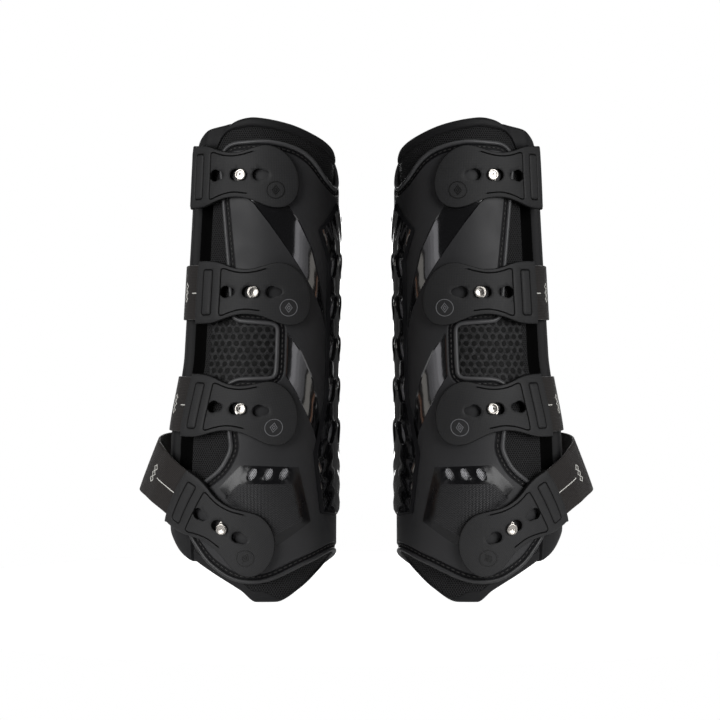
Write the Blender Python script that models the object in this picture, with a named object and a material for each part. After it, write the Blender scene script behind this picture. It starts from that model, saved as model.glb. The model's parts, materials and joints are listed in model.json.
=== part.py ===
"""Pair of tendon boots: padded liners in moulded shells, each held by four elastic straps with rubber tabs.

Everything is worked out in millimetres on one boot, the left one, and written in metres. A boot's own
frame has +Z up the leg, +X to the back of the leg (the tendon) and -Y to the outer side. A place on the
boot is an angle round the leg (0 outer side, 90 back, 180 inner side, -90 front), a height, and a lift
off the outer face of the padding. The right boot shares the left one's meshes through a mirrored parent.
"""
import math

import bpy
import numpy as np
from mathutils import Matrix, Vector, geometry

MM = 0.001

# The pair
BOOT_SPACING = 139.0
BOOT_YAW = 18.0
PAIR_CENTRE_Y = 2.21

# Section of the padded leg tube
TOP_DEPTH, TOP_WIDTH = 47.8, 38.3
DEPTH_TAPER, WIDTH_TAPER = 0.022, 0.016
FETLOCK_DEPTH, FETLOCK_WIDTH = 3.0, 5.5
LEG_TOP = 305.0

# Layers, as lifts off the padding's outer face
PAD_LIFTS = (-6.0, -2.0)
MESH_LIFTS = (-1.7, 0.0)
WASHER_LIFTS = (0.3, 1.0)
SHELL_LIFTS = (1.6, 3.8)
GUARD_LIFTS = (4.6, 5.8)
ELASTIC_LIFTS = (2.3, 3.6)
ANCHOR_LIFT = 4.3
TAB_LIFT = 5.2
TAB_ROOT_LIFT = 4.2
TAB_THICKNESS = 2.8

# Front opening of the liner and the flap under it
LINER_FRONT, LINER_MEDIAL_END = -27.0, 219.0
FLAP_START, FLAP_END = -140.4, -9.0
FLAP_THICKNESS = 4.5
FLAP_DIP = 6.9

# Edges round the leg: (angle, height)
CUFF_TOP = ((-27.0, 301.0), (-20.0, 310.0), (-13.0, 316.5), (-4.0, 320.0), (9.0, 321.0), (37.0, 316.8),
            (62.0, 310.4), (90.0, 303.0), (104.0, 299.0), (122.0, 300.0), (145.0, 304.5), (165.0, 305.0),
            (190.0, 301.0), (219.0, 296.0))
HEM = ((-90.0, 49.0), (-60.0, 41.0), (-45.0, 34.5), (-32.0, 28.4), (-10.0, 17.5), (9.0, 7.4), (20.0, 0.0),
       (34.0, 0.0), (54.0, 8.3), (72.0, 18.5), (90.0, 26.0), (108.0, 27.5), (128.0, 21.0), (146.0, 10.5),
       (164.0, 0.0), (178.0, 0.0), (196.0, 8.5), (212.0, 20.0), (238.0, 35.0), (270.0, 49.0))
FLAP_TOP = ((-141.0, 299.0), (-90.0, 303.0), (-70.0, 307.5), (-56.0, 311.5), (-40.0, 316.0), (-22.0, 318.5),
            (-9.0, 318.5))
CUFF_HEIGHTS = (1.6, 6.9)
CUFF_SWELL = (-12.0, 26.0)
CUFF_LIFTS = (-6.4, 0.3)
HEM_LIFTS = (-6.2, 0.0)
HEM_FRONT_HEIGHT, HEM_BACK_HEIGHT = 8.0, 2.4
HEM_TURN = (24.0, 40.0)
SEAM_GAP = 0.3
BINDING_GAP = 0.7

# Shell edge on the outer side, from the back down round the front: (angle, height, corner radius)
SHELL_EDGE = (
    (90.0, 268.5, 40.0), (70.0, 275.5, 40.0), (48.0, 294.5, 40.0), (20.0, 300.0, 50.0), (-14.5, 298.5, 9.0),
    (-2.4, 225.0, 300.0), (2.0, 191.0, 3.5), (37.2, 188.6, 11.0), (37.2, 143.2, 11.0), (-2.5, 142.8, 9.0),
    (7.0, 122.0, 25.0), (11.0, 101.0, 20.0), (3.0, 85.0, 30.0), (-23.0, 66.0, 12.0), (-23.0, 46.5, 16.0),
    (-9.0, 29.5, 30.0), (7.5, 18.8, 30.0), (25.0, 18.6, 30.0), (51.0, 29.2, 60.0), (90.0, 40.5, 60.0),
)
SHELL_FLANGE = 3.0
PIPING_RADIUS = 1.5
PIPING_LIFT = 2.2
PIPING_SIDES = 5

# Tendon guard up the back: (distance from the back's centre line, height)
GUARD_EDGE = ((0.0, 266.0), (22.0, 247.0), (10.8, 226.0), (10.8, 136.0), (19.0, 98.0), (14.0, 58.0),
              (0.0, 55.5))
GUARD_WINDOW = (9.6, 102.0, 237.0)
GUARD_VENT_OFFSET, GUARD_VENT_SIZE = 5.4, (5.6, 13.0)
GUARD_VENT_HEIGHTS = tuple(223.0 - 27.8 * row for row in range(5))
GUARD_VENT_SLANT = 3.0

# Raised fetlock panel: (angle, height)
PANEL_FOOT = ((12.0, 91.1), (-2.4, 75.8), (35.1, 37.7), (61.4, 53.4), (51.5, 89.5))
PANEL_TOP = ((11.4, 78.8), (1.8, 68.8), (32.3, 43.8), (51.2, 53.9), (45.6, 78.5))
PANEL_RISE = (0.8, 2.6)
PANEL_RISE_RUN = 26.0
PANEL_VENT_ANGLES, PANEL_VENT_HEIGHT = (19.4, 29.8, 40.3), 85.0
PANEL_VENT_SIZE = (2.3, 3.3)

# Straps, from the top: stud's angle and height, fall towards the back in degrees, angles between which
# that fall comes in, spare lift over the panel and how far the loop stands off the front.
STRAPS = (
    dict(stud=(1.6, 282.3), fall=0.3, turn=(-118.0, -40.0), spare=0.0, loop=0.0, hinge=-141.0),
    dict(stud=(13.6, 205.0), fall=0.5, turn=(-118.0, -40.0), spare=0.0, loop=0.0, hinge=-141.0),
    dict(stud=(10.6, 127.9), fall=5.5, turn=(-66.0, 14.0), spare=0.0, loop=0.0, hinge=-141.0),
    dict(stud=(1.1, 49.4), fall=33.5, turn=(-118.0, -40.0), spare=1.2, loop=14.5, hinge=-150.0),
)
LOOP_CANT = 0.029

# Tab outline from its root's upper corner round its tip: (distance along from the stud, across)
TAB_EDGE = (
    (-43.5, 17.4), (-40.4, 20.6), (-33.0, 20.6), (-27.0, 19.9), (-21.0, 18.2), (-15.0, 16.2), (-9.0, 15.2),
    (-3.0, 15.2), (3.0, 16.6), (8.5, 18.3), (14.0, 19.5), (19.5, 19.0), (25.0, 16.6), (30.0, 12.6),
    (34.2, 6.8), (36.8, 0.5), (37.6, -6.0), (36.9, -12.0), (34.3, -17.2), (30.0, -20.6), (24.6, -21.8),
    (19.0, -21.2), (13.5, -19.2), (8.0, -17.0), (2.5, -15.4), (-3.0, -14.8), (-9.0, -15.0), (-15.0, -16.4),
    (-21.0, -18.4), (-27.0, -20.2), (-33.0, -20.9), (-40.4, -20.9), (-43.5, -17.8),
)
KEYHOLE_PITCH, KEYHOLE_DROP = 15.3, 4.0
KEYHOLE_ROUND, KEYHOLE_NARROW = 4.0, 2.7
ELASTIC_HALF_WIDTH = 18.3
ELASTIC_SPARE = 0.6
ELASTIC_UNDER_TAB = -36.5
ANCHOR_LENGTH = 34.0
ANCHOR_GAP = 0.4
ANCHOR_RISE = (-145.0, 10.0)
LOOP_CENTRE, LOOP_HALF_ANGLE, LOOP_POWER = -93.0, 78.0, 2.6

# Studs
NECK_RADIUS, HEAD_RADIUS, COLLAR_RADIUS = 2.0, 3.7, 4.7
HEAD_GAP, HEAD_THICKNESS, HEAD_BEVEL = 0.8, 1.5, 0.4
COLLAR_LIFTS = (4.0, 4.3)
STUD_FOOT_LIFT = 0.35
WASHER_RADII = (2.5, 4.6)
ROUND_SIDES = 12

ANGLE_STEP = 12.0
ELASTIC_STEP = 7.0
PLATE_STEP = (10.5, 26.0)
TAB_STEP = (12.0, 14.0)

COLOURS = {
    "neoprene": ((0.012, 0.012, 0.013), 0.75, 0.0),
    "mesh": ((0.02, 0.02, 0.021), 0.85, 0.0),
    "shell": ((0.032, 0.032, 0.034), 0.5, 0.0),
    "gloss": ((0.01, 0.01, 0.011), 0.12, 0.0),
    "piping": ((0.055, 0.055, 0.058), 0.55, 0.0),
    "rubber": ((0.035, 0.035, 0.036), 0.6, 0.0),
    "elastic": ((0.022, 0.019, 0.018), 0.8, 0.0),
    "stud": ((0.72, 0.68, 0.62), 0.25, 1.0),
    "washer": ((0.45, 0.45, 0.46), 0.35, 1.0),
}


def ease(t):
    """Smooth step from 0 to 1."""
    t = min(max(t, 0.0), 1.0)
    return t * t * (3.0 - 2.0 * t)


def section(height):
    """Half depth, half width and centre of the padded leg's oval at a height."""
    bulge = ease((165.0 - height) / 60.0) * (1.0 - 0.7 * ease((80.0 - height) / 70.0))
    below = LEG_TOP - height
    depth = TOP_DEPTH + DEPTH_TAPER * below + FETLOCK_DEPTH * bulge
    width = TOP_WIDTH + WIDTH_TAPER * below + FETLOCK_WIDTH * bulge - 3.0 * ease((40.0 - height) / 60.0)
    centre = 48.0 - depth - 2.4 * ease((300.0 - height) / 200.0)
    return depth, width, centre


def on_leg(angle, height, lift):
    """Point of the boot at an angle in degrees, a height and a lift, in millimetres."""
    depth, width, centre = section(height)
    across, along = math.sin(math.radians(angle)), math.cos(math.radians(angle))
    normal = Vector((across / depth, -along / width, 0.0)).normalized()
    return Vector((centre + depth * across, -width * along, height)) + normal * lift


def outward(angle, height):
    """Unit normal of the padding's outer face."""
    around = on_leg(angle + 1.0, height, 0.0) - on_leg(angle - 1.0, height, 0.0)
    up = on_leg(angle, height + 1.0, 0.0) - on_leg(angle, height - 1.0, 0.0)
    return around.cross(up).normalized()


def unrolled_table():
    """Angles, and the distance round the leg's middle section from the outer side to each."""
    angles = np.arange(-220.0, 401.0)
    turn = np.radians(angles)
    depth, width, _ = section(160.0)
    x, y = depth * np.sin(turn), width * np.cos(turn)
    run = np.concatenate(([0.0], np.cumsum(np.hypot(np.diff(x), np.diff(y)))))
    return angles, run - np.interp(0.0, angles, run)


ANGLES, RUNS = unrolled_table()


def run_at(angle):
    """Unrolled distance round the leg at an angle."""
    return float(np.interp(angle, ANGLES, RUNS))


def angle_at(run):
    """Angle at an unrolled distance."""
    return float(np.interp(run, RUNS, ANGLES))


BACK_RUN = run_at(90.0)


def on_unrolled(run, height, lift):
    """Point of the boot from an unrolled distance."""
    return on_leg(angle_at(run), height, lift)


def edge_height(edge, angle):
    """Height of an edge given by (angle, height) points, as a smooth curve."""
    angle = min(max(angle, edge[0][0]), edge[-1][0])
    index = max(i for i in range(len(edge) - 1) if edge[i][0] <= angle or i == 0)
    (a0, h0), (a1, h1) = edge[index], edge[index + 1]
    before = edge[max(index - 1, 0)]
    after = edge[min(index + 2, len(edge) - 1)]
    flat = h0 == h1
    slope0 = 0.0 if flat or h0 == before[1] else (h1 - before[1]) / (a1 - before[0])
    slope1 = 0.0 if flat or h1 == after[1] else (after[1] - h0) / (after[0] - a0)
    span = a1 - a0
    t = (angle - a0) / span
    return ((2 * t**3 - 3 * t**2 + 1) * h0 + (t**3 - 2 * t**2 + t) * span * slope0
            + (3 * t**2 - 2 * t**3) * h1 + (t**3 - t**2) * span * slope1)


def hem_height(angle):
    """Height of the boot's lowest edge."""
    return edge_height(HEM, angle)


def hem_top(angle):
    """Height of the seam along the hem binding."""
    side = angle if angle <= 90.0 else 180.0 - angle
    narrow = ease((side - HEM_TURN[0]) / (HEM_TURN[1] - HEM_TURN[0]))
    return hem_height(angle) + HEM_FRONT_HEIGHT + (HEM_BACK_HEIGHT - HEM_FRONT_HEIGHT) * narrow


def cuff_height(angle):
    """Height of the top cuff, which runs out towards the front."""
    start, reach = CUFF_SWELL
    return CUFF_HEIGHTS[0] + (CUFF_HEIGHTS[1] - CUFF_HEIGHTS[0]) * ease((angle - start) / reach)


def cuff_seam(angle):
    """Height of the seam under the top cuff."""
    return edge_height(CUFF_TOP, angle) - cuff_height(angle)


# Outlines, as closed loops of (run, height)

def rounded(corners, most_step=8.0, arc_steps=4):
    """Closed loop of points through (run, height, radius) corners, with an arc at each corner."""
    loop = []
    count = len(corners)
    for index, (run, height, radius) in enumerate(corners):
        corner = Vector((run, height))
        back = Vector(corners[index - 1][:2]) - corner
        ahead = Vector(corners[(index + 1) % count][:2]) - corner
        bend = math.pi - back.angle(ahead)
        reach = min(radius * math.tan(bend / 2), 0.48 * back.length, 0.48 * ahead.length)
        if reach < 0.05:
            loop.append(corner)
            continue
        start, end = corner + back.normalized() * reach, corner + ahead.normalized() * reach
        steps = max(1, min(arc_steps, round(math.degrees(bend) / 18.0)))
        for step in range(steps + 1):
            t = step / steps
            loop.append(start * (1 - t)**2 + corner * 2 * t * (1 - t) + end * t**2)
    return subdivided(loop, most_step)


def subdivided(loop, most_step):
    """The loop with points added so that no step round the leg is longer than most_step."""
    fine = []
    for index, point in enumerate(loop):
        after = loop[(index + 1) % len(loop)]
        pieces = max(1, math.ceil(abs(after.x - point.x) / most_step),
                     math.ceil((after - point).length / (3.0 * most_step)))
        fine += [point.lerp(after, step / pieces) for step in range(pieces)]
    return fine


def grown(loop, distance):
    """The loop moved outwards by a distance; it runs anticlockwise."""
    moved = []
    count = len(loop)
    for index, point in enumerate(loop):
        before = (point - loop[index - 1]).normalized()
        after = (loop[(index + 1) % count] - point).normalized()
        mitre = Vector((before.y + after.y, -before.x - after.x)).normalized()
        share = max(0.5, mitre.dot(Vector((before.y, -before.x))))
        moved.append(point + mitre * (distance / share))
    return moved


def both_sides(half):
    """Outline given for the outer side, joined to its mirror about the back."""
    mirrored = [(2 * BACK_RUN - run, *rest) for run, *rest in reversed(half)]
    return list(half) + [point for point in mirrored if abs(point[0] - BACK_RUN) > 0.01]


def mirrored_loop(loop):
    """A loop of points mirrored about the back, still anticlockwise."""
    return [Vector((2 * BACK_RUN - point.x, point.y)) for point in reversed(loop)]


def shell_edge():
    """Edge of the shell's thick part, anticlockwise."""
    return rounded(both_sides([(run_at(angle), height, radius) for angle, height, radius in SHELL_EDGE]))


def oval(run, height, half_run, half_height, sides=8, slant=0.0):
    """Closed oval loop, anticlockwise, leaning by slant at its top."""
    turns = [2 * math.pi * side / sides for side in range(sides)]
    return [Vector((run + half_run * math.cos(turn) + slant * math.sin(turn),
                    height + half_height * math.sin(turn))) for turn in turns]


def inside(loop, x, y):
    """Whether a point lies within a loop."""
    found = False
    for index, point in enumerate(loop):
        other = loop[index - 1]
        if (point.y > y) != (other.y > y):
            if x < (other.x - point.x) * (y - point.y) / (other.y - point.y) + point.x:
                found = not found
    return found


def distance_to(loop, x, y):
    """Distance from a point to a loop's nearest edge."""
    best = math.inf
    for index, point in enumerate(loop):
        edge = point - loop[index - 1]
        offset = Vector((x, y)) - loop[index - 1]
        along = min(max(offset.dot(edge) / edge.length_squared, 0.0), 1.0)
        best = min(best, (offset - edge * along).length)
    return best


# Meshes

def add_mesh(name, points, faces, smooth_angle=40.0):
    """Mesh in metres from points in millimetres."""
    mesh = bpy.data.meshes.new(name)
    mesh.from_pydata([point * MM for point in points], [], faces)
    mesh.shade_smooth()
    mesh.set_sharp_from_angle(angle=math.radians(smooth_angle))
    return mesh


def plate(name, outline, holes, creases, step, place, lift_in, lift_out):
    """Curved plate of the outline's shape, cut by holes; its faces are at place(x, y, lift)."""
    loops = [outline] + holes + creases
    points, edges = [], []
    for loop in loops:
        first = len(points)
        points += loop
        edges += [(first + index, first + (index + 1) % len(loop)) for index in range(len(loop))]
    low_x, high_x = min(p.x for p in outline), max(p.x for p in outline)
    low_y, high_y = min(p.y for p in outline), max(p.y for p in outline)
    clear = 0.42 * step[0]
    for x in np.arange(low_x + step[0] / 2, high_x, step[0]):
        for y in np.arange(low_y + step[1] / 2, high_y, step[1]):
            if inside(outline, x, y) and not any(inside(hole, x, y) for hole in holes):
                if all(distance_to(loop, x, y) > clear for loop in loops):
                    points.append(Vector((x, y)))
    flat, _, triangles, *_ = geometry.delaunay_2d_cdt(points, edges, [], 0, 1e-5)
    kept = []
    for triangle in triangles:
        middle = sum((flat[index] for index in triangle), Vector((0.0, 0.0))) / 3.0
        if inside(outline, *middle) and not any(inside(hole, *middle) for hole in holes):
            kept.append(triangle)
    used = {edge for a, b, c in kept for edge in ((a, b), (b, c), (c, a))}
    rim = [edge for edge in used if (edge[1], edge[0]) not in used]
    order = sorted({index for triangle in kept for index in triangle})
    place_of = {index: position for position, index in enumerate(order)}
    half = len(order)
    outer = [place(*flat[index], lift_out(*flat[index])) for index in order]
    inner = [place(*flat[index], lift_in(*flat[index])) for index in order]
    faces = [[place_of[index] for index in triangle] for triangle in kept]
    faces += [[place_of[index] + half for index in reversed(triangle)] for triangle in kept]
    faces += [[place_of[b], place_of[a], place_of[a] + half, place_of[b] + half] for a, b in sorted(rim)]
    return add_mesh(name, outer + inner, faces)


def slab(name, outer, inner):
    """Closed sheet between two grids of points; outer[i][j] runs round the leg with i and up with j."""
    columns, rows = len(outer), len(outer[0])
    points = [point for column in outer for point in column]
    points += [point for column in inner for point in column]
    half = columns * rows

    def at(i, j, side=0):
        return side * half + i * rows + j

    faces = []
    for i in range(columns - 1):
        for j in range(rows - 1):
            faces.append([at(i, j), at(i + 1, j), at(i + 1, j + 1), at(i, j + 1)])
            faces.append([at(i, j, 1), at(i, j + 1, 1), at(i + 1, j + 1, 1), at(i + 1, j, 1)])
    for i in range(columns - 1):
        faces.append([at(i + 1, 0), at(i, 0), at(i, 0, 1), at(i + 1, 0, 1)])
        faces.append([at(i, rows - 1), at(i + 1, rows - 1), at(i + 1, rows - 1, 1), at(i, rows - 1, 1)])
    for j in range(rows - 1):
        faces.append([at(0, j), at(0, j + 1), at(0, j + 1, 1), at(0, j, 1)])
        faces.append([at(columns - 1, j + 1), at(columns - 1, j), at(columns - 1, j, 1),
                      at(columns - 1, j + 1, 1)])
    return add_mesh(name, points, faces)


def angles_between(first, last, extra=()):
    """Even angles from first to last, with the extra ones among them."""
    count = math.ceil((last - first) / ANGLE_STEP)
    even = [first + (last - first) * index / count for index in range(1, count)]
    even = [angle for angle in even if all(abs(angle - other) > ANGLE_STEP / 3 for other in extra)]
    return sorted(even + [first, last, *extra])


def ring_sweep(name, rings):
    """Closed tube through rings of points, capped where it ends."""
    count, sides = len(rings), len(rings[0])
    points = [point for ring in rings for point in ring]
    faces = []
    for i in range(count - 1):
        for j in range(sides):
            k = (j + 1) % sides
            faces.append([i * sides + j, i * sides + k, (i + 1) * sides + k, (i + 1) * sides + j])
    faces.append(list(reversed(range(sides))))
    faces.append([(count - 1) * sides + j for j in range(sides)])
    return add_mesh(name, points, faces)


def turned(name, profile, origin, axis):
    """Solid turned from (radius, height) points about an axis; the profile runs up its outer side."""
    side = axis.orthogonal().normalized()
    other = axis.cross(side)
    points, faces, rings = [], [], []
    for radius, height in profile:
        centre = origin + axis * height
        if radius == 0.0:
            rings.append([len(points)] * ROUND_SIDES)
            points.append(centre)
            continue
        rings.append(list(range(len(points), len(points) + ROUND_SIDES)))
        for index in range(ROUND_SIDES):
            turn = 2 * math.pi * index / ROUND_SIDES
            points.append(centre + (side * math.cos(turn) + other * math.sin(turn)) * radius)
    closed = profile[0][0] != 0.0
    pairs = list(zip(rings, rings[1:] + rings[:1])) if closed else list(zip(rings, rings[1:]))
    for low, high in pairs:
        for index in range(ROUND_SIDES):
            after = (index + 1) % ROUND_SIDES
            face = [low[index], low[after], high[after], high[index]]
            faces.append([vertex for place, vertex in enumerate(face) if vertex != face[place - 1]])
    return add_mesh(name, points, faces)


# Padding

LINER_EXTRA = (-16.0, -7.0, 2.0, 20.0, 34.0, 90.0, 164.0, 178.0)


def liner_layer(name, lifts):
    """One full-height layer of the liner."""
    angles = angles_between(LINER_FRONT, LINER_MEDIAL_END, LINER_EXTRA)
    shares = (0.0, 0.2, 0.36, 0.5, 0.72, 1.0)

    def grid(lift):
        columns = []
        for angle in angles:
            low, high = hem_top(angle) + BINDING_GAP, cuff_seam(angle) - BINDING_GAP
            columns.append([on_leg(angle, low + (high - low) * share, lift) for share in shares])
        return columns

    return slab(name, grid(lifts[1]), grid(lifts[0]))


def flap_lift(angle):
    """Lift of the front flap's outer face: it dips under the liner's free edge."""
    return -FLAP_DIP * ease((angle + 58.0) / 26.0)


def front_flap():
    """Smooth flap across the front of the leg, under the liner's free edge."""
    angles = angles_between(FLAP_START, FLAP_END)
    shares = (0.0, 0.18, 0.36, 0.5, 1.0)

    def grid(thickness):
        columns = []
        for angle in angles:
            low = hem_height(angle if angle > -90.0 else angle + 360.0)
            high = edge_height(FLAP_TOP, angle)
            lift = flap_lift(angle) - thickness
            columns.append([on_leg(angle, low + (high - low) * share, lift) for share in shares])
        return columns

    return slab("front_flap", grid(0.0), grid(FLAP_THICKNESS))


def top_cuff():
    """Rolled neoprene edge along the liner's top."""
    middle, half = sum(CUFF_LIFTS) / 2, (CUFF_LIFTS[1] - CUFF_LIFTS[0]) / 2
    corners = ((-1.0, 0.0), (-1.0, 0.6), (-0.5, 1.0), (0.5, 1.0), (1.0, 0.6), (1.0, 0.0))
    rings = []
    for angle in angles_between(LINER_FRONT, LINER_MEDIAL_END, LINER_EXTRA):
        base, height = cuff_seam(angle), cuff_height(angle)
        rings.append([on_leg(angle, base + up * height, middle + out * half) for out, up in corners])
    return ring_sweep("top_cuff", rings)


def hem_binding():
    """Binding along the bottom edge, with flats to stand on at its two lowest points."""
    angles = angles_between(LINER_FRONT, LINER_MEDIAL_END, LINER_EXTRA)

    def grid(lift):
        return [[on_leg(angle, hem_height(angle), lift), on_leg(angle, hem_top(angle), lift)]
                for angle in angles]

    return slab("hem_binding", grid(HEM_LIFTS[1]), grid(HEM_LIFTS[0]))


# Shell

def panel_loops():
    """Foot and top outlines of the fetlock panel on the outer side."""
    return [[Vector((run_at(angle), height)) for angle, height in loop] for loop in (PANEL_FOOT, PANEL_TOP)]


PANEL_FOOT_LOOP, PANEL_TOP_LOOP = panel_loops()


def panel_rise(run, height):
    """How far the fetlock panel stands out of the shell; lower towards the bottom strap."""
    side = run if run <= BACK_RUN else 2 * BACK_RUN - run
    if not inside(PANEL_FOOT_LOOP, side, height):
        return 0.0
    corner, end = PANEL_TOP_LOOP[1], PANEL_TOP_LOOP[2]
    edge = (end - corner).normalized()
    away = (Vector((side, height)) - corner).dot(Vector((-edge.y, edge.x)))
    full = PANEL_RISE[0] + (PANEL_RISE[1] - PANEL_RISE[0]) * ease(away / PANEL_RISE_RUN + 0.1)
    if inside(PANEL_TOP_LOOP, side, height):
        return full
    foot, top = distance_to(PANEL_FOOT_LOOP, side, height), distance_to(PANEL_TOP_LOOP, side, height)
    return full * foot / (foot + top)


def stud_hole(strap):
    """Hole through the shell for a stud."""
    return oval(run_at(strap["stud"][0]), strap["stud"][1], NECK_RADIUS + 0.7, NECK_RADIUS + 0.7, 10)


def shell():
    """Moulded shell round the sides and back, with stud holes, panel vents and the guard's window."""
    outline = grown(shell_edge(), SHELL_FLANGE)
    vents = [oval(run_at(angle), PANEL_VENT_HEIGHT, *PANEL_VENT_SIZE, slant=0.8) for angle in PANEL_VENT_ANGLES]
    half, low, high = GUARD_WINDOW
    window = rounded([(BACK_RUN - half, low, 4.0), (BACK_RUN + half, low, 4.0),
                      (BACK_RUN + half, high, 4.0), (BACK_RUN - half, high, 4.0)], 9.0, 3)
    holes = [stud_hole(strap) for strap in STRAPS] + vents + [mirrored_loop(vent) for vent in vents] + [window]
    panels = [PANEL_FOOT_LOOP, PANEL_TOP_LOOP]
    creases = [subdivided(loop, 12.0) for loop in panels + [mirrored_loop(loop) for loop in panels]]
    return plate("shell", outline, holes, creases, PLATE_STEP, on_unrolled,
                 lambda run, height: SHELL_LIFTS[0],
                 lambda run, height: SHELL_LIFTS[1] + panel_rise(run, height))


def shell_piping():
    """Round piping sewn all along the shell's edge."""
    route = grown(shell_edge(), SHELL_FLANGE + PIPING_RADIUS + SEAM_GAP)
    rings = []
    for index, point in enumerate(route):
        along = (route[(index + 1) % len(route)] - route[index - 1]).normalized()
        across = Vector((along.y, -along.x))
        ring = []
        for side in range(PIPING_SIDES):
            turn = 2 * math.pi * side / PIPING_SIDES
            place = point + across * PIPING_RADIUS * math.cos(turn)
            ring.append(on_unrolled(place.x, place.y, PIPING_LIFT + PIPING_RADIUS * math.sin(turn)))
        rings.append(ring)
    count = len(rings)
    faces = []
    for i in range(count):
        ahead = (i + 1) % count
        for j in range(PIPING_SIDES):
            k = (j + 1) % PIPING_SIDES
            faces.append([i * PIPING_SIDES + j, ahead * PIPING_SIDES + j,
                          ahead * PIPING_SIDES + k, i * PIPING_SIDES + k])
    return add_mesh("shell_piping", [point for ring in rings for point in ring], faces)


def tendon_guard():
    """Glossy strike guard over the window in the shell's back, with a double row of vents."""
    half = [(BACK_RUN - away, height, 2.0) for away, height in GUARD_EDGE]
    outline = rounded(both_sides(half), 6.0, 2)
    vents = []
    for height in GUARD_VENT_HEIGHTS:
        vent = oval(BACK_RUN - GUARD_VENT_OFFSET, height, GUARD_VENT_SIZE[0] / 2, GUARD_VENT_SIZE[1] / 2,
                    6, GUARD_VENT_SLANT / 2)
        vents += [vent, mirrored_loop(vent)]
    return plate("tendon_guard", outline, vents, [], (6.0, 20.0), on_unrolled,
                 lambda run, height: GUARD_LIFTS[0], lambda run, height: GUARD_LIFTS[1])


# Straps

def strap_height(strap, run):
    """Height of a strap's centre line: it falls evenly on the outer side and is level at the inner side."""
    stud_run, level, full = run_at(strap["stud"][0]), *(run_at(angle) for angle in strap["turn"])
    fall = math.tan(math.radians(strap["fall"]))
    if run >= full:
        return strap["stud"][1] + fall * (stud_run - run)
    t = max((run - level) / (full - level), 0.0)
    return strap["stud"][1] + fall * (stud_run - full + (full - level) * (0.5 - t**3 + t**4 / 2))


def loop_lift(strap, angle, across=0.0):
    """How far a strap's loop stands off the front of the leg, more at its lower edge."""
    off_centre = min(abs(angle - LOOP_CENTRE) / LOOP_HALF_ANGLE, 1.0)
    return strap["loop"] * math.cos(math.pi / 2 * off_centre)**LOOP_POWER * (1.0 - LOOP_CANT * across)


def strap_course(strap):
    """Distances along a strap from its stud, and the angle at each."""
    angles = np.arange(-215.0, 75.0, 0.5)
    centre = [on_leg(angle, strap_height(strap, run_at(angle)), TAB_LIFT + loop_lift(strap, angle))
              for angle in angles]
    steps = [(b - a).length for a, b in zip(centre, centre[1:])]
    run = np.concatenate(([0.0], np.cumsum(steps)))
    return run - np.interp(strap["stud"][0], angles, run), angles


def on_strap(strap, course, along, across, lift):
    """Point of a strap: along it from the stud, across it upwards, and the lift above its loop."""
    angle = float(np.interp(along, *course))
    level, full = strap["turn"]
    slope = math.radians(strap["fall"]) * ease((angle - level) / (full - level))
    total = lift + loop_lift(strap, angle, across)
    height = strap_height(strap, run_at(angle))
    per_degree = (on_leg(angle + 0.5, height, total) - on_leg(angle - 0.5, height, total)).length
    return on_leg(angle + across * math.sin(slope) / per_degree, height + across * math.cos(slope), total)


def tab_outline():
    """Closed outline of a tab, anticlockwise, as (along, across)."""
    return [Vector(point) for point in reversed(TAB_EDGE)]


def keyhole(along):
    """Outline of a keyhole whose narrow end is at along; its round end is nearer the tab's root."""
    wide_centre = along - KEYHOLE_DROP
    reach = math.acos((KEYHOLE_ROUND - KEYHOLE_NARROW) / KEYHOLE_DROP)
    points = []
    for step in range(4):
        turn = -reach + 2 * reach * step / 3
        points.append(Vector((along + KEYHOLE_NARROW * math.cos(turn), KEYHOLE_NARROW * math.sin(turn))))
    for step in range(8):
        turn = 0.72 * reach + (2 * math.pi - 1.44 * reach) * step / 7
        points.append(Vector((wide_centre + KEYHOLE_ROUND * math.cos(turn), KEYHOLE_ROUND * math.sin(turn))))
    return points


def strap_tab(number, strap, course):
    """Rubber tab with three keyholes."""
    def lift_in(along, across):
        return TAB_ROOT_LIFT + (TAB_LIFT - TAB_ROOT_LIFT) * ease((along + 32.0) / 14.0) + strap["spare"]

    holes = [keyhole(pitch * KEYHOLE_PITCH) for pitch in (-1, 0, 1)]
    return plate(f"strap_tab_{number}", tab_outline(), holes, [], TAB_STEP,
                 lambda along, across, lift: on_strap(strap, course, along, across, lift),
                 lift_in, lambda along, across: lift_in(along, across) + TAB_THICKNESS)


def elastic_lift(strap, angle):
    """Lift of an elastic's inner face: over the shell on the inner side, lower round the front."""
    low = ELASTIC_LIFTS[0] + ELASTIC_SPARE * strap["spare"]
    start, reach = ANCHOR_RISE
    return low + (ANCHOR_LIFT - low) * ease((start - angle) / reach)


def ribbon(name, strap, course, start, end, most_step):
    """Flat elastic along a strap between two distances."""
    thickness = ELASTIC_LIFTS[1] - ELASTIC_LIFTS[0]
    count = math.ceil((end - start) / most_step)

    def grid(extra):
        columns = []
        for index in range(count + 1):
            along = start + (end - start) * index / count
            lift = elastic_lift(strap, float(np.interp(along, *course))) + extra
            columns.append([on_strap(strap, course, along, across, lift)
                            for across in (-ELASTIC_HALF_WIDTH, 0.0, ELASTIC_HALF_WIDTH)])
        return columns

    return slab(name, grid(thickness), grid(0.0))


def hinge_distance(strap, course):
    """Distance along a strap at which its free length starts."""
    return float(np.interp(strap["hinge"], course[1], course[0]))


# Studs

def stud_line(strap):
    """Point of the padding's face below a strap's stud, and the stud's direction, square to the tab."""
    middle = TAB_LIFT + strap["spare"] + TAB_THICKNESS / 2
    direction = outward(*strap["stud"])
    return on_leg(*strap["stud"], middle) - direction * middle, direction


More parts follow.
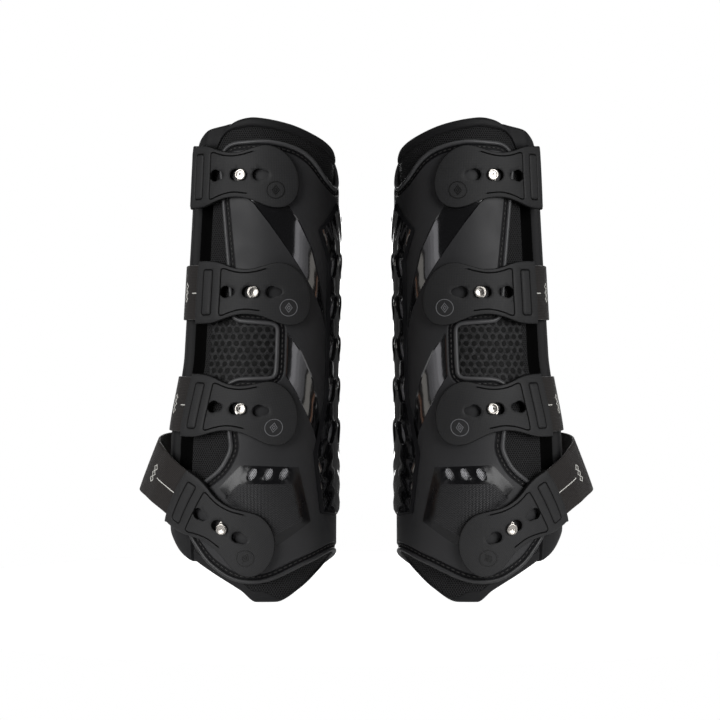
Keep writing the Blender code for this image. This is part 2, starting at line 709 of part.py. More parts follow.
def stud(number, strap):
    """Flat-headed stud riveted through the shell; the tab's keyhole hooks under its head."""
    head = TAB_LIFT + strap["spare"] + TAB_THICKNESS + HEAD_GAP
    profile = ((0.0, STUD_FOOT_LIFT), (NECK_RADIUS, STUD_FOOT_LIFT),
               (NECK_RADIUS, COLLAR_LIFTS[0]), (COLLAR_RADIUS, COLLAR_LIFTS[0]),
               (COLLAR_RADIUS, COLLAR_LIFTS[1]), (NECK_RADIUS, COLLAR_LIFTS[1]),
               (NECK_RADIUS, head), (HEAD_RADIUS, head), (HEAD_RADIUS, head + HEAD_THICKNESS - HEAD_BEVEL),
               (HEAD_RADIUS - HEAD_BEVEL, head + HEAD_THICKNESS), (0.0, head + HEAD_THICKNESS))
    return turned(f"stud_{number}", profile, *stud_line(strap))


def stud_washer(number, strap):
    """Washer between the liner and the shell, round a stud's foot."""
    inner, outer = WASHER_RADII
    low, high = WASHER_LIFTS
    profile = ((inner, low), (outer, low), (outer, high), (inner, high))
    return turned(f"stud_washer_{number}", profile, *stud_line(strap))


# Joints

def swing_pivot(strap, course):
    """Point on the upright axis about which a strap's free length swings off the leg."""
    lift = elastic_lift(strap, strap["hinge"]) + 0.65
    return on_strap(strap, course, hinge_distance(strap, course), 0.0, lift)


def stretch_pivot(strap):
    """Centre of the outer side's curve along a strap, about which a tab slides along it."""
    depth, width, _ = section(strap["stud"][1])
    foot, direction = stud_line(strap)
    return foot - direction * (depth * depth / width / math.cos(math.radians(strap["fall"]))**2)


# Assembly

def material(name):
    """Plain material for one kind of part."""
    colour, roughness, metallic = COLOURS[name]
    made = bpy.data.materials.new(name)
    made.use_nodes = True
    shader = made.node_tree.nodes["Principled BSDF"]
    shader.inputs["Base Color"].default_value = (*colour, 1.0)
    shader.inputs["Roughness"].default_value = roughness
    shader.inputs["Metallic"].default_value = metallic
    return made


def boot_parts():
    """Every part of one boot: (name, mesh, material, origin in millimetres)."""
    centre = Vector((0.0, 0.0, 0.0))
    parts = [
        ("inner_pad", liner_layer("inner_pad", PAD_LIFTS), "neoprene", centre),
        ("mesh_cover", liner_layer("mesh_cover", MESH_LIFTS), "mesh", centre),
        ("front_flap", front_flap(), "neoprene", centre),
        ("top_cuff", top_cuff(), "neoprene", centre),
        ("hem_binding", hem_binding(), "neoprene", centre),
        ("shell", shell(), "shell", centre),
        ("shell_piping", shell_piping(), "piping", centre),
        ("tendon_guard", tendon_guard(), "gloss", centre),
    ]
    for number, strap in enumerate(STRAPS, 1):
        course = strap_course(strap)
        hinge = hinge_distance(strap, course)
        free, sewn = (hinge, ELASTIC_UNDER_TAB), (hinge - ANCHOR_LENGTH, hinge - ANCHOR_GAP)
        swing, stretch = swing_pivot(strap, course), stretch_pivot(strap)
        parts += [
            (f"strap_tab_{number}", strap_tab(number, strap, course), "rubber", stretch),
            (f"elastic_{number}", ribbon(f"elastic_{number}", strap, course, *free, ELASTIC_STEP),
             "elastic", swing),
            (f"elastic_anchor_{number}", ribbon(f"elastic_anchor_{number}", strap, course, *sewn, ELASTIC_STEP),
             "elastic", centre),
            (f"stud_{number}", stud(number, strap), "stud", centre),
            (f"stud_washer_{number}", stud_washer(number, strap), "washer", centre),
        ]
    for _, mesh, _, origin in parts:
        mesh.transform(Matrix.Translation(-origin * MM))
    return parts


def add_boot(side, sign, parts, materials):
    """One boot under its own empty; sign is -1 for the left and +1 for the mirrored right."""
    frame = bpy.data.objects.new(f"{side}_boot", None)
    frame.location = (sign * BOOT_SPACING / 2 * MM, -PAIR_CENTRE_Y * MM, 0.0)
    frame.rotation_euler = (0.0, 0.0, sign * math.radians(BOOT_YAW))
    frame.scale = (-sign, 1.0, 1.0)
    bpy.context.collection.objects.link(frame)
    for name, mesh, finish, origin in parts:
        part = bpy.data.objects.new(f"{side}_{name}", mesh)
        if not mesh.materials:
            mesh.materials.append(materials[finish])
        part.location = origin * MM
        part.parent = frame
        bpy.context.collection.objects.link(part)


def main():
    for old in list(bpy.data.objects):
        bpy.data.objects.remove(old)
    materials = {name: material(name) for name in COLOURS}
    parts = boot_parts()
    add_boot("left", -1.0, parts, materials)
    add_boot("right", 1.0, parts, materials)


main()
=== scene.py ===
"""Looks of the pair of tendon boots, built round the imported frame.

Each piece is worked out in millimetres on the left boot, whose own frame has +Z up the leg, +X to the back
and -Y to the outer side. A place is an angle round the leg (0 outer side, 90 back, 180 inner side,
-90 front), a height and a lift off the padding's outer face. The right boot's pieces are the mirror image.
"""
import json
import math

import bpy
import numpy as np
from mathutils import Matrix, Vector, geometry

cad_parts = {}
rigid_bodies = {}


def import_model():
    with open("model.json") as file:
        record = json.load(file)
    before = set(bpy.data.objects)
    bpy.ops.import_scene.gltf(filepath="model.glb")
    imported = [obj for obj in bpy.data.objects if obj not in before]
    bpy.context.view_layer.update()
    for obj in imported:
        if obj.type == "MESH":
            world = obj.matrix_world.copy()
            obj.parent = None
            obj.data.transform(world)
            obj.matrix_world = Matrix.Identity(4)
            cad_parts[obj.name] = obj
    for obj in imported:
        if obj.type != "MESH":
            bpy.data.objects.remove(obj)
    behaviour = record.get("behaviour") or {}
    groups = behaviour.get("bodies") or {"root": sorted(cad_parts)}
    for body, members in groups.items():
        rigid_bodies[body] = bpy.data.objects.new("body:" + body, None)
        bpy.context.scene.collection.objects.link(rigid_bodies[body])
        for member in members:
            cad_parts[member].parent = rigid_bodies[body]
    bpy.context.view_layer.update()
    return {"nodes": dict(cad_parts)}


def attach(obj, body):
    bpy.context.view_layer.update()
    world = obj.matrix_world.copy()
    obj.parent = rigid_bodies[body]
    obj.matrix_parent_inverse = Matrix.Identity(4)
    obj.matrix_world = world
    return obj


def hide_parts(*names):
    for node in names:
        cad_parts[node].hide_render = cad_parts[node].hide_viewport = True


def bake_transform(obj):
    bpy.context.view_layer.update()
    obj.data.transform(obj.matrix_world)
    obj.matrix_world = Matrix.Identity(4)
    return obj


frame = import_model()
MM = 0.001

BOOT_X, BOOT_Y, BOOT_YAW = -69.5, -2.21, -18

TOP_DEPTH, TOP_WIDTH = 47.8, 38.3
LEG_TOP = 305

LINER = (-27, 219)
FLAP = (-140.4, -9)
PAD_LIFTS, MESH_LIFTS, HEM_LIFTS = (-6, -1.9), (-1.8, 0), (-6.2, 0.5)
FLAP_THICKNESS, FLAP_DIP, TROUGH_DIP = 4.5, 6.9, 6.6
CUFF_LIFT, CUFF_HALF, CUFF_SQUARE = -2.7, 4.1, 0.72
# The layers' edges round the leg: (angle, height)
CUFF_TOP = (
    (-27, 301), (-20, 310), (-13, 316.5), (-4, 320), (9, 321), (37, 316.8), (62, 310.4), (90, 303), (104, 299),
    (122, 300), (145, 304.5), (165, 305), (190, 301), (219, 296))
HEM = (
    (-90, 49), (-60, 41), (-45, 34.5), (-32, 28.4), (-10, 17.5), (9, 7.4), (20, 0), (34, 0), (54, 8.3),
    (72, 18.5), (90, 26), (108, 27.5), (128, 21), (146, 10.5), (164, 0), (178, 0), (196, 8.5), (212, 20),
    (238, 35), (270, 49))
FLAP_TOP = (
    (-141, 299), (-90, 303), (-70, 307.5), (-56, 311.5), (-40, 316), (-22, 318.5), (-9, 318.5))

# The shell's outer half: its edge as (angle, height, corner radius), and what is moulded into it
SHELL_EDGE = (
    (90, 268.5, 40), (70, 275.5, 40), (48, 294.5, 40), (20, 300, 50), (-14.5, 298.5, 9), (-2.4, 225, 300),
    (2, 191, 3.5), (37.2, 188.6, 11), (37.2, 143.2, 11), (-2.5, 142.8, 9), (7, 122, 25), (11, 101, 20),
    (3, 85, 30), (-23, 66, 12), (-23, 46.5, 16), (-9, 29.5, 30), (7.5, 18.8, 30), (25, 18.6, 30), (51, 29.2, 60),
    (90, 40.5, 60))
FLANGE, FLANGE_TOP = 3, 2.55
SHELL_FOOT, SHELL_TOP, SHELL_BEVEL, STRIPE_DEPTH = 1.6, 3.8, 0.55, 0.75
PIPING_RADIUS, PIPING_LIFT, PIPING_GAP = 1.5, 2.2, 0.3
STRIPE_HIGH = (
    (-2, 272), (9.7, 264), (21.3, 251.3), (33, 237.5), (47, 221.1), (59.1, 206.7), (67.5, 194.5), (74.7, 180.3),
    (72.6, 193), (68.7, 206.9), (58.3, 233.3), (46.1, 251.6), (36.1, 262.7), (27, 272))
STRIPE_LOW = (
    (38.6, 149.6), (47.2, 139.1), (56.3, 125.8), (64, 113.7), (70.3, 97), (73, 103), (72, 115), (67.2, 133.6),
    (60.2, 150.3), (50.5, 165.5), (38.6, 178.6))
PANEL_FOOT = ((12, 91.1), (-2.4, 75.8), (35.1, 37.7), (61.4, 53.4), (51.5, 89.5))
PANEL_TOP = ((11.4, 78.8), (1.8, 68.8), (32.3, 43.8), (51.2, 53.9), (45.6, 78.5))
PANEL_VENTS, VENT_HEIGHT, VENT_LIP = (19.4, 29.8, 40.3), 85, 0.9
# The guard's half, as (distance from the back, height)
GUARD_EDGE = ((0, 266), (19.5, 246.5), (10.8, 226), (10.8, 136), (19, 98), (14, 58), (0, 55.5))
GUARD_FOOT, GUARD_TOP, GUARD_BORDER, GUARD_ROWS = 4, 5.8, 1.6, [223 - 27.8 * row for row in range(5)]
GUARD_WINDOW, NET_LIFT = (9.6, 102, 237), 3.2

STRAPS = (
    dict(stud=(1.6, 282.3), fall=0.3, turn=(-118, -40), spare=0, loop=0, hinge=-141),
    dict(stud=(13.6, 205), fall=0.5, turn=(-118, -40), spare=0, loop=0, hinge=-141),
    dict(stud=(10.6, 127.9), fall=5.5, turn=(-66, 14), spare=0, loop=0, hinge=-141),
    dict(stud=(1.1, 49.4), fall=33.5, turn=(-118, -40), spare=1.2, loop=14.5, hinge=-150),
)
# The tab's shapes: (along from its stud, across)
TAB_EDGE = (
    (-43.5, 17.4), (-40.4, 20.6), (-33, 20.6), (-27, 19.9), (-21, 18.2), (-15, 16.2), (-9, 15.2), (-3, 15.2),
    (3, 16.6), (8.5, 18.3), (14, 19.5), (19.5, 19), (25, 16.6), (30, 12.6), (34.2, 6.8), (36.8, 0.5), (37.6, -6),
    (36.9, -12), (34.3, -17.2), (30, -20.6), (24.6, -21.8), (19, -21.2), (13.5, -19.2), (8, -17), (2.5, -15.4),
    (-3, -14.8), (-9, -15), (-15, -16.4), (-21, -18.4), (-27, -20.2), (-33, -20.9), (-40.4, -20.9), (-43.5, -17.8))
TAB_GROOVE = (
    (7, 15.2), (0, 13.3), (-6, 12.6), (-12, 13), (-17, 14.2), (-20.6, 15.3), (-22.5, 15), (-23.1, 13.4),
    (-23.1, 5), (-23.1, -5), (-23.1, -13.4), (-22.4, -15.2), (-20.4, -15.4), (-16, -13.7), (-10, -12),
    (-4, -11.4), (4, -12.3))
TAB_WINDOW = ((-37.4, -15.2, 1.8), (-29.9, -15.2, 1.8), (-29.9, 14.8, 1.8), (-37.4, 14.8, 1.8))
EMBLEM = (22.5, -10.2, 5.8)
KEYHOLE_PITCH, KEYHOLE_DROP, KEYHOLE_ROUND, KEYHOLE_NARROW = 15.3, 4, 4, 2.7
TAB_LIFT, TAB_ROOT_LIFT, TAB_THICKNESS = 5.2, 4.2, 2.8
ELASTIC_HALF, ELASTIC_LIFT, ELASTIC_THICKNESS, ANCHOR_LIFT, ANCHOR_LENGTH = 18.3, 2.3, 1.35, 4.3, 34
LOOP_CANT = 0.029
# Stitches lie this far above the surface, a pitch apart
EDGE_STITCH = dict(lift=2.62, pitch=3.4, length=2.4, width=0.85, rise=0.34)
TAB_STITCH = dict(lift=-0.45, pitch=2.3, length=1.7, width=0.95, rise=0.32)
ELASTIC_STITCH = dict(lift=0, pitch=3.2, length=2.4, width=0.8, rise=0.28)
# The printed elastics' marks: where the diamonds stand, and the ends of the line
MARKS = {1: (-61.5, (-52.5, -45)), 2: (-62.5, (-52.5, -45)), 3: (-76, (-68.5, -45.5))}
# (radius, height above the foot of the head)
STUD_HEAD = (
    (2, 0), (3.3, 0), (3.62, 0.18), (3.7, 0.5), (3.7, 0.85), (3.6, 1.15), (3.3, 1.38), (3, 1.45), (2.75, 1.4),
    (2.6, 1.2), (2.4, 1.12), (1, 1.16), (0.75, 1.12), (0.45, 0.95), (0, 0.9))
ROOT_3 = 1.7320508


# Leg and strap surfaces

def ease(t):
    t = np.clip(t, 0, 1)
    return t * t * (3 - 2 * t)


def on_leg(angle, height, lift):
    """Points in millimetres at angles, heights and lifts."""
    angle, height, lift = np.broadcast_arrays(*(np.asarray(v, float) for v in (angle, height, lift)))
    bulge = ease((165 - height) / 60) * (1 - 0.7 * ease((80 - height) / 70))
    below = LEG_TOP - height
    depth = TOP_DEPTH + 0.022 * below + 3 * bulge
    width = TOP_WIDTH + 0.016 * below + 5.5 * bulge - 3 * ease((40 - height) / 60)
    centre = 48 - depth - 2.4 * ease((300 - height) / 200)
    across, along = np.sin(np.radians(angle)), np.cos(np.radians(angle))
    nx, ny = across / depth, -along / width
    size = np.hypot(nx, ny)
    return np.stack((centre + depth * across + lift * nx / size, -width * along + lift * ny / size, height), -1)


def distances(points):
    """How far along a line each of its points is."""
    return np.concatenate(([0], np.cumsum(np.linalg.norm(np.diff(points, axis=0), axis=1))))


def unrolled_table():
    """The distance round the leg from the outer side, at the middle of its height, for each whole angle."""
    angles = np.arange(-220, 401)
    bulge = ease(5 / 60)
    depth, width = TOP_DEPTH + 0.022 * 145 + 3 * bulge, TOP_WIDTH + 0.016 * 145 + 5.5 * bulge
    run = distances(np.stack((depth * np.sin(np.radians(angles)), width * np.cos(np.radians(angles))), 1))
    return angles, run - np.interp(0, angles, run)


ANGLES, RUNS = unrolled_table()


def run_at(angle):
    return np.interp(angle, ANGLES, RUNS)


def angle_at(run):
    return np.interp(run, RUNS, ANGLES)


BACK = float(run_at(90))


def on_unrolled(points, lift):
    return on_leg(angle_at(points[:, 0]), points[:, 1], lift)


def edge_height(edge, angle):
    """Smooth curve through (angle, height) points, level along each flat."""
    a = np.array([p[0] for p in edge])
    h = np.array([p[1] for p in edge])
    angle = np.clip(np.asarray(angle, float), a[0], a[-1])
    slope = np.zeros(len(a))
    slope[1:-1] = (h[2:] - h[:-2]) / (a[2:] - a[:-2])
    flat = np.zeros(len(a), bool)
    flat[:-1] |= h[1:] == h[:-1]
    flat[1:] |= h[1:] == h[:-1]
    slope[flat] = 0
    i = np.clip(np.searchsorted(a, angle, "right") - 1, 0, len(a) - 2)
    span = a[i + 1] - a[i]
    t = (angle - a[i]) / span
    return ((2 * t**3 - 3 * t**2 + 1) * h[i] + (t**3 - 2 * t**2 + t) * span * slope[i]
            + (3 * t**2 - 2 * t**3) * h[i + 1] + (t**3 - t**2) * span * slope[i + 1])


def hem_top(angle):
    side = np.where(angle <= 90, angle, 180 - angle)
    return edge_height(HEM, angle) + 8 - 5.6 * ease((side - 24) / 16)


def cuff_height(angle):
    return 1.6 + 5.3 * ease((angle + 27) / 26)


def cuff_seam(angle):
    return edge_height(CUFF_TOP, angle) - cuff_height(angle)


def flap_lift(angle, height=200):
    """The flap dips under the liner's free edge: a deep trough along the leg, but close up at its two ends."""
    trough = TROUGH_DIP * ease((angle + 56) / 10) * (1 - 0.6 * ease((angle + 24) / 14))
    deep = -FLAP_DIP * ease((angle + 58) / 26) - trough
    step = 4 + 14 * ease((height - 250) / 40)
    close = -FLAP_DIP * ease((angle + 28 + step) / step)
    return close + (deep - close) * ease((height - 52) / 24) * ease((306 - height) / 14)


def strap_height(strap, run):
    stud, (level, full) = run_at(strap["stud"][0]), (run_at(angle) for angle in strap["turn"])
    fall = math.tan(math.radians(strap["fall"]))
    t = np.clip((run - level) / (full - level), 0, 1)
    before = strap["stud"][1] + fall * (stud - full + (full - level) * (0.5 - t**3 + t**4 / 2))
    return np.where(run >= full, strap["stud"][1] + fall * (stud - run), before)


def loop_lift(strap, angle, across=0):
    off = np.minimum(np.abs(angle + 93) / 78, 1)
    return strap["loop"] * np.clip(np.cos(math.pi / 2 * off), 0, 1)**2.6 * (1 - LOOP_CANT * across)


def strap_course(strap):
    angles = np.arange(-215, 75, 0.5)
    centre = on_leg(angles, strap_height(strap, run_at(angles)), TAB_LIFT + loop_lift(strap, angles))
    run = distances(centre)
    return run - np.interp(strap["stud"][0], angles, run), angles


COURSES = [strap_course(strap) for strap in STRAPS]


def on_strap(number, along, across, lift):
    """Points of a strap: along it from the stud, across it upwards, and the lift above its loop."""
    strap, course = STRAPS[number], COURSES[number]
    along, across, lift = np.broadcast_arrays(*(np.asarray(v, float) for v in (along, across, lift)))
    angle = np.interp(along, *course)
    level, full = strap["turn"]
    slope = math.radians(strap["fall"]) * ease((angle - level) / (full - level))
    total = lift + loop_lift(strap, angle, across)
    height = strap_height(strap, run_at(angle))
    step = on_leg(angle + 0.5, height, total) - on_leg(angle - 0.5, height, total)
    per_degree = np.linalg.norm(step, axis=-1)
    return on_leg(angle + across * np.sin(slope) / per_degree, height + across * np.cos(slope), total)


# Outlines, as arrays of points

def rounded(corners, steps=8):
    """Closed loop through (x, y, radius) corners with an arc at each."""
    loop = []
    for index, (x, y, radius) in enumerate(corners):
        corner = Vector((x, y))
        back = Vector(corners[index - 1][:2]) - corner
        ahead = Vector(corners[(index + 1) % len(corners)][:2]) - corner
        bend = math.pi - back.angle(ahead)
        reach = min(radius * math.tan(bend / 2), 0.48 * back.length, 0.48 * ahead.length)
        if reach < 0.05:
            loop.append(corner)
            continue
        start, end = corner + back.normalized() * reach, corner + ahead.normalized() * reach
        count = max(2, min(steps, round(math.degrees(bend) / 8)))
        for step in range(count + 1):
            t = step / count
            loop.append(start * (1 - t)**2 + corner * 2 * t * (1 - t) + end * t**2)
    return np.array([tuple(point) for point in loop])


def refined(loop, most, closed=True):
    """The loop with points added so that no step is longer than most."""
    ends = np.roll(loop, -1, axis=0) if closed else loop[1:]
    fine = []
    for start, end in zip(loop, ends):
        count = max(1, math.ceil(np.linalg.norm(end - start) / most))
        fine += [start + (end - start) * step / count for step in range(count)]
    if not closed:
        fine.append(loop[-1])
    return np.array(fine)


def curved(points, closed=True):
    """Smooth curve through points."""
    p = np.array(points, float)
    p = np.vstack((p[-1:], p, p[:2]) if closed else (p[:1], p, p[-1:]))
    out = []
    for a, b, c, d in zip(p, p[1:], p[2:], p[3:]):
        for t in (0, 0.25, 0.5, 0.75):
            out.append(0.5 * (2 * b + (c - a) * t + (2 * a - 5 * b + 4 * c - d) * t**2
                              + (3 * b - a - 3 * c + d) * t**3))
    if not closed:
        out.append(p[-1])
    return np.array(out)


def grown(loop, distance, closed=True):
    """The loop moved to its right-hand side, which is outwards when it runs anticlockwise."""
    ahead = np.roll(loop, -1, axis=0) if closed else np.vstack((loop[1:], 2 * loop[-1:] - loop[-2:-1]))
    step = ahead - loop
    step /= np.linalg.norm(step, axis=1)[:, None] + 1e-9
    before = np.roll(step, 1, axis=0)
    if not closed:
        before[0] = step[0]
        step[-1] = before[-1]
    mitre = before + step
    mitre = np.stack((mitre[:, 1], -mitre[:, 0]), 1)
    mitre /= np.linalg.norm(mitre, axis=1)[:, None] + 1e-9
    share = np.maximum(0.5, mitre[:, 0] * before[:, 1] - mitre[:, 1] * before[:, 0])
    return loop + mitre * (distance / share)[:, None]


def mirrored(loop):
    """A loop mirrored about the back."""
    return np.stack((2 * BACK - loop[::-1, 0], loop[::-1, 1]), 1)


def both_sides(half):
    """Corners on the outer side joined to their mirror image about the back."""
    other = [(2 * BACK - run, *rest) for run, *rest in reversed(half)]
    return list(half) + [point for point in other if abs(point[0] - BACK) > 0.01]


def folded(points):
    """Unrolled points, with those on the inner side moved to their mirror image on the outer side."""
    return np.stack((np.minimum(points[:, 0], 2 * BACK - points[:, 0]), points[:, 1]), 1)


def inside(loop, points):
    """Whether points lie within a loop."""
    found = np.zeros(len(points), bool)
    x, y = points[:, 0], points[:, 1]
    for (ax, ay), (bx, by) in zip(loop, np.roll(loop, 1, axis=0)):
        if ay != by:
            found ^= ((ay > y) != (by > y)) & (x < (bx - ax) * (y - ay) / (by - ay) + ax)
    return found


def distance_to(loop, points, closed=True):
    """Distance from points to a loop's nearest edge."""
    starts = loop if closed else loop[:-1]
    ends = np.roll(loop, -1, axis=0) if closed else loop[1:]
    best = np.full(len(points), np.inf)
    for start, end in zip(starts, ends):
        edge = end - start
        offset = points - start
        along = np.clip(offset @ edge / (edge @ edge + 1e-12), 0, 1)
        best = np.minimum(best, np.linalg.norm(offset - along[:, None] * edge, axis=1))
    return best


def circle(sides):
    return np.arange(sides) * 2 * math.pi / sides


def oval(x, y, half_x, half_y, sides=24, slant=0):
    turn = circle(sides)
    return np.stack((x + half_x * np.cos(turn) + slant * np.sin(turn), y + half_y * np.sin(turn)), 1)


def triangulated(outline, holes, creases, step, close=0.45, lines=()):
    """Points and anticlockwise triangles of a flat area with holes, closed creases and open crease lines."""
    points, edges = [], []
    routes = [(loop, True) for loop in [outline] + holes + creases] + [(line, False) for line in lines]
    for loop, closed in routes:
        first, count = len(points), len(loop)
        points += [tuple(p) for p in loop]
        edges += [(first + i, first + (i + 1) % count) for i in range(count if closed else count - 1)]
    xs = np.arange(outline[:, 0].min() + step[0] / 2, outline[:, 0].max(), step[0])
    ys = np.arange(outline[:, 1].min() + step[1] / 2, outline[:, 1].max(), step[1])
    grid = np.stack(np.meshgrid(xs, ys), -1)
    grid[1::2, :, 0] += step[0] / 2
    grid = grid.reshape(-1, 2)
    keep = inside(outline, grid)
    for hole in holes:
        keep &= ~inside(hole, grid)
    grid = grid[keep]
    for loop, closed in routes:
        grid = grid[distance_to(loop, grid, closed) > close * min(step)]
    points += [tuple(p) for p in grid]
    flat, _, triangles, *_ = geometry.delaunay_2d_cdt([Vector(p) for p in points], edges, [], 0, 1e-5)
    flat = np.array([tuple(p) for p in flat])
    triangles = np.array([tuple(t) for t in triangles])
    middle = flat[triangles].mean(axis=1)
    keep = inside(outline, middle)
    for hole in holes:
        keep &= ~inside(hole, middle)
    triangles = triangles[keep]
    order, triangles = np.unique(triangles, return_inverse=True)
    return flat[order], triangles.reshape(-1, 3)


# Meshes

COS, SIN = math.cos(math.radians(BOOT_YAW)), math.sin(math.radians(BOOT_YAW))
SPIN = np.array(((COS, -SIN, 0), (SIN, COS, 0), (0, 0, 1)))


def in_world(points):
    """Left boot's millimetres to the frame's metres."""
    return (np.asarray(points) @ SPIN.T + (BOOT_X, BOOT_Y, 0)) * MM


def add(name, points, faces, materials, body, slot, uv, kinds=None, sharp=35, nodes=(), hinge=None, padded=None):
    """A piece on each boot, from points in millimetres on the left one; kinds are the faces' material numbers."""
    left = in_world(points)
    uv = np.asarray(uv, float) * MM
    for side, sign in (("left", 1), ("right", -1)):
        mesh = bpy.data.meshes.new(f"{side}_{name}")
        own = [list(face) if sign > 0 else list(face)[::-1] for face in faces]
        mesh.from_pydata((left * (sign, 1, 1)).tolist(), [], own)
        layer = mesh.uv_layers.new(name="unrolled")
        corner = np.empty(len(mesh.loops), int)
        mesh.loops.foreach_get("vertex_index", corner)
        layer.data.foreach_set("uv", uv[corner].ravel())
        for material in materials if isinstance(materials, list) else [materials]:
            mesh.materials.append(material)
        if kinds is not None:
            mesh.polygons.foreach_set("material_index", np.asarray(kinds, np.int32))
        mesh.shade_smooth()
        mesh.set_sharp_from_angle(angle=math.radians(sharp))
        obj = bpy.data.objects.new(f"{side}_{name}", mesh)
        bpy.context.scene.collection.objects.link(obj)
        if hinge is None:
            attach(obj, f"{side}_{body}")
        else:
            start, end = (tuple(in_world(p) * (sign, 1, 1)) for p in hinge)
            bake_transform(obj)
            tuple(start)
            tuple(end)
        if nodes:
            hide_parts(*(f"{side}_{node}" for node in nodes))


def two_sided(points, triangles, place, top, bottom):
    """Closed plate between two lifts over the same flat triangles."""
    count = len(points)
    solid = np.concatenate((place(points, top), place(points, bottom)))
    edges = {}
    for a, b, c in triangles.tolist():
        for edge in ((a, b), (b, c), (c, a)):
            edges[edge] = True
    rim = [edge for edge in edges if (edge[1], edge[0]) not in edges]
    faces = triangles.tolist() + (triangles[:, ::-1] + count).tolist()
    faces += [[b, a, a + count, b + count] for a, b in rim]
    return solid, faces, np.concatenate((points, points)), len(triangles)


def swept(rings, closed=False):
    """Points and faces of a tube through rings of points."""
    count, sides = len(rings), len(rings[0])
    points = np.concatenate(rings)
    faces = []
    for i in range(count if closed else count - 1):
        a, b = i * sides, ((i + 1) % count) * sides
        for j in range(sides):
            k = (j + 1) % sides
            faces.append([a + j, a + k, b + k, b + j])
    if not closed:
        faces.append(list(range(sides))[::-1])
        faces.append([(count - 1) * sides + j for j in range(sides)])
    return points, faces


def tube(name, rings, uv, materials, slot, body="boot", closed=False, kind=None, **options):
    """A piece swept through rings of points; kind gives a face's material number from where it is, unrolled."""
    points, faces = swept(rings, closed)
    uv = np.concatenate(uv)
    kinds = kind and [kind(*uv[face].mean(axis=0)) for face in faces]
    add(name, points, faces, materials, body, slot, uv, kinds, **options)


def slab_section(low, high, inner, outer, rows, arc, round_top, round_low):
    """Heights and lifts round a flat strip's section, with rounded ends, up the outer side first."""
    half, middle = (outer - inner) / 2, (outer + inner) / 2
    top, bottom = high - half * round_top, low + half * round_low
    share, turn = np.linspace(0, 1, rows), np.linspace(0, math.pi, 2 * arc + 1)[1:-1]
    heights = (bottom + (top - bottom) * share, top + half * round_top * np.sin(turn),
               top + (bottom - top) * share, bottom - half * round_low * np.sin(turn))
    lifts = (np.full(rows, outer), middle + half * np.cos(turn), np.full(rows, inner), middle - half * np.cos(turn))
    return np.concatenate(heights), np.concatenate(lifts)


def unrolled(angle, heights):
    return np.stack((np.full(len(heights), run_at(angle)), heights), 1)


def layer(name, span, step, low, high, lifts, rows, materials, slot, puff=None, section=(4, 0.5, 0.5), **options):
    """A soft layer over a span of angles, whose heights and lifts are functions of the angle."""
    rings, uv = [], []
    for angle in np.linspace(*span, int((span[1] - span[0]) / step) + 1):
        heights, out = slab_section(low(angle), high(angle), *lifts(angle), rows, *section)
        if puff is not None:
            out = out + puff(angle, heights, out)
        rings.append(on_leg(angle, heights, out))
        uv.append(unrolled(angle, heights))
    tube(name, rings, uv, materials, slot, **options)


# Materials

class Nodes:
    """Short ways to wire a tree of nodes."""

    def __init__(self, owner):
        owner.use_nodes = True
        self.tree = owner.node_tree

    def feed(self, socket, value):
        """Link another node's socket, or set a value; colours are given without alpha."""
        if isinstance(value, bpy.types.NodeSocket):
            self.tree.links.new(value, socket)
        else:
            socket.default_value = (*value, 1) if socket.type == "RGBA" else value

    def node(self, kind, *values, **named):
        """A node with its settings by name, its inputs in order or by name."""
        made = self.tree.nodes.new("ShaderNode" + kind)
        for key, value in named.items():
            if key.islower():
                setattr(made, key, value)
            else:
                self.feed(made.inputs[key], value)
        for socket, value in zip(made.inputs, values):
            self.feed(socket, value)
        return made

    def math(self, operation, a, b=0):
        return self.node("Math", a, b, operation=operation).outputs[0]

    def vector(self, operation, a, b=(0, 0, 0)):
        made = self.node("VectorMath", a, b, operation=operation)
        return made.outputs["Value" if operation == "LENGTH" else "Vector"]

    def step(self, value, low, high, out_low=0, out_high=1):
        return self.node("MapRange", value, low, high, out_low, out_high,
                         interpolation_type="SMOOTHSTEP").outputs[0]

    def mix(self, share, a, b, kind="RGBA"):
        made = self.node("Mix", data_type=kind)
        first = 6 if kind == "RGBA" else 2
        for index, value in ((0, share), (first, a), (first + 1, b)):
            self.feed(made.inputs[index], value)
        return made.outputs[2 if kind == "RGBA" else 0]

    def unrolled(self):
        """Run and height in metres on the boot, or along and across on a strap."""
        return self.node("UVMap", uv_map="unrolled").outputs[0]

    def part(self, vector, axis):
        return self.node("SeparateXYZ", vector).outputs[axis]


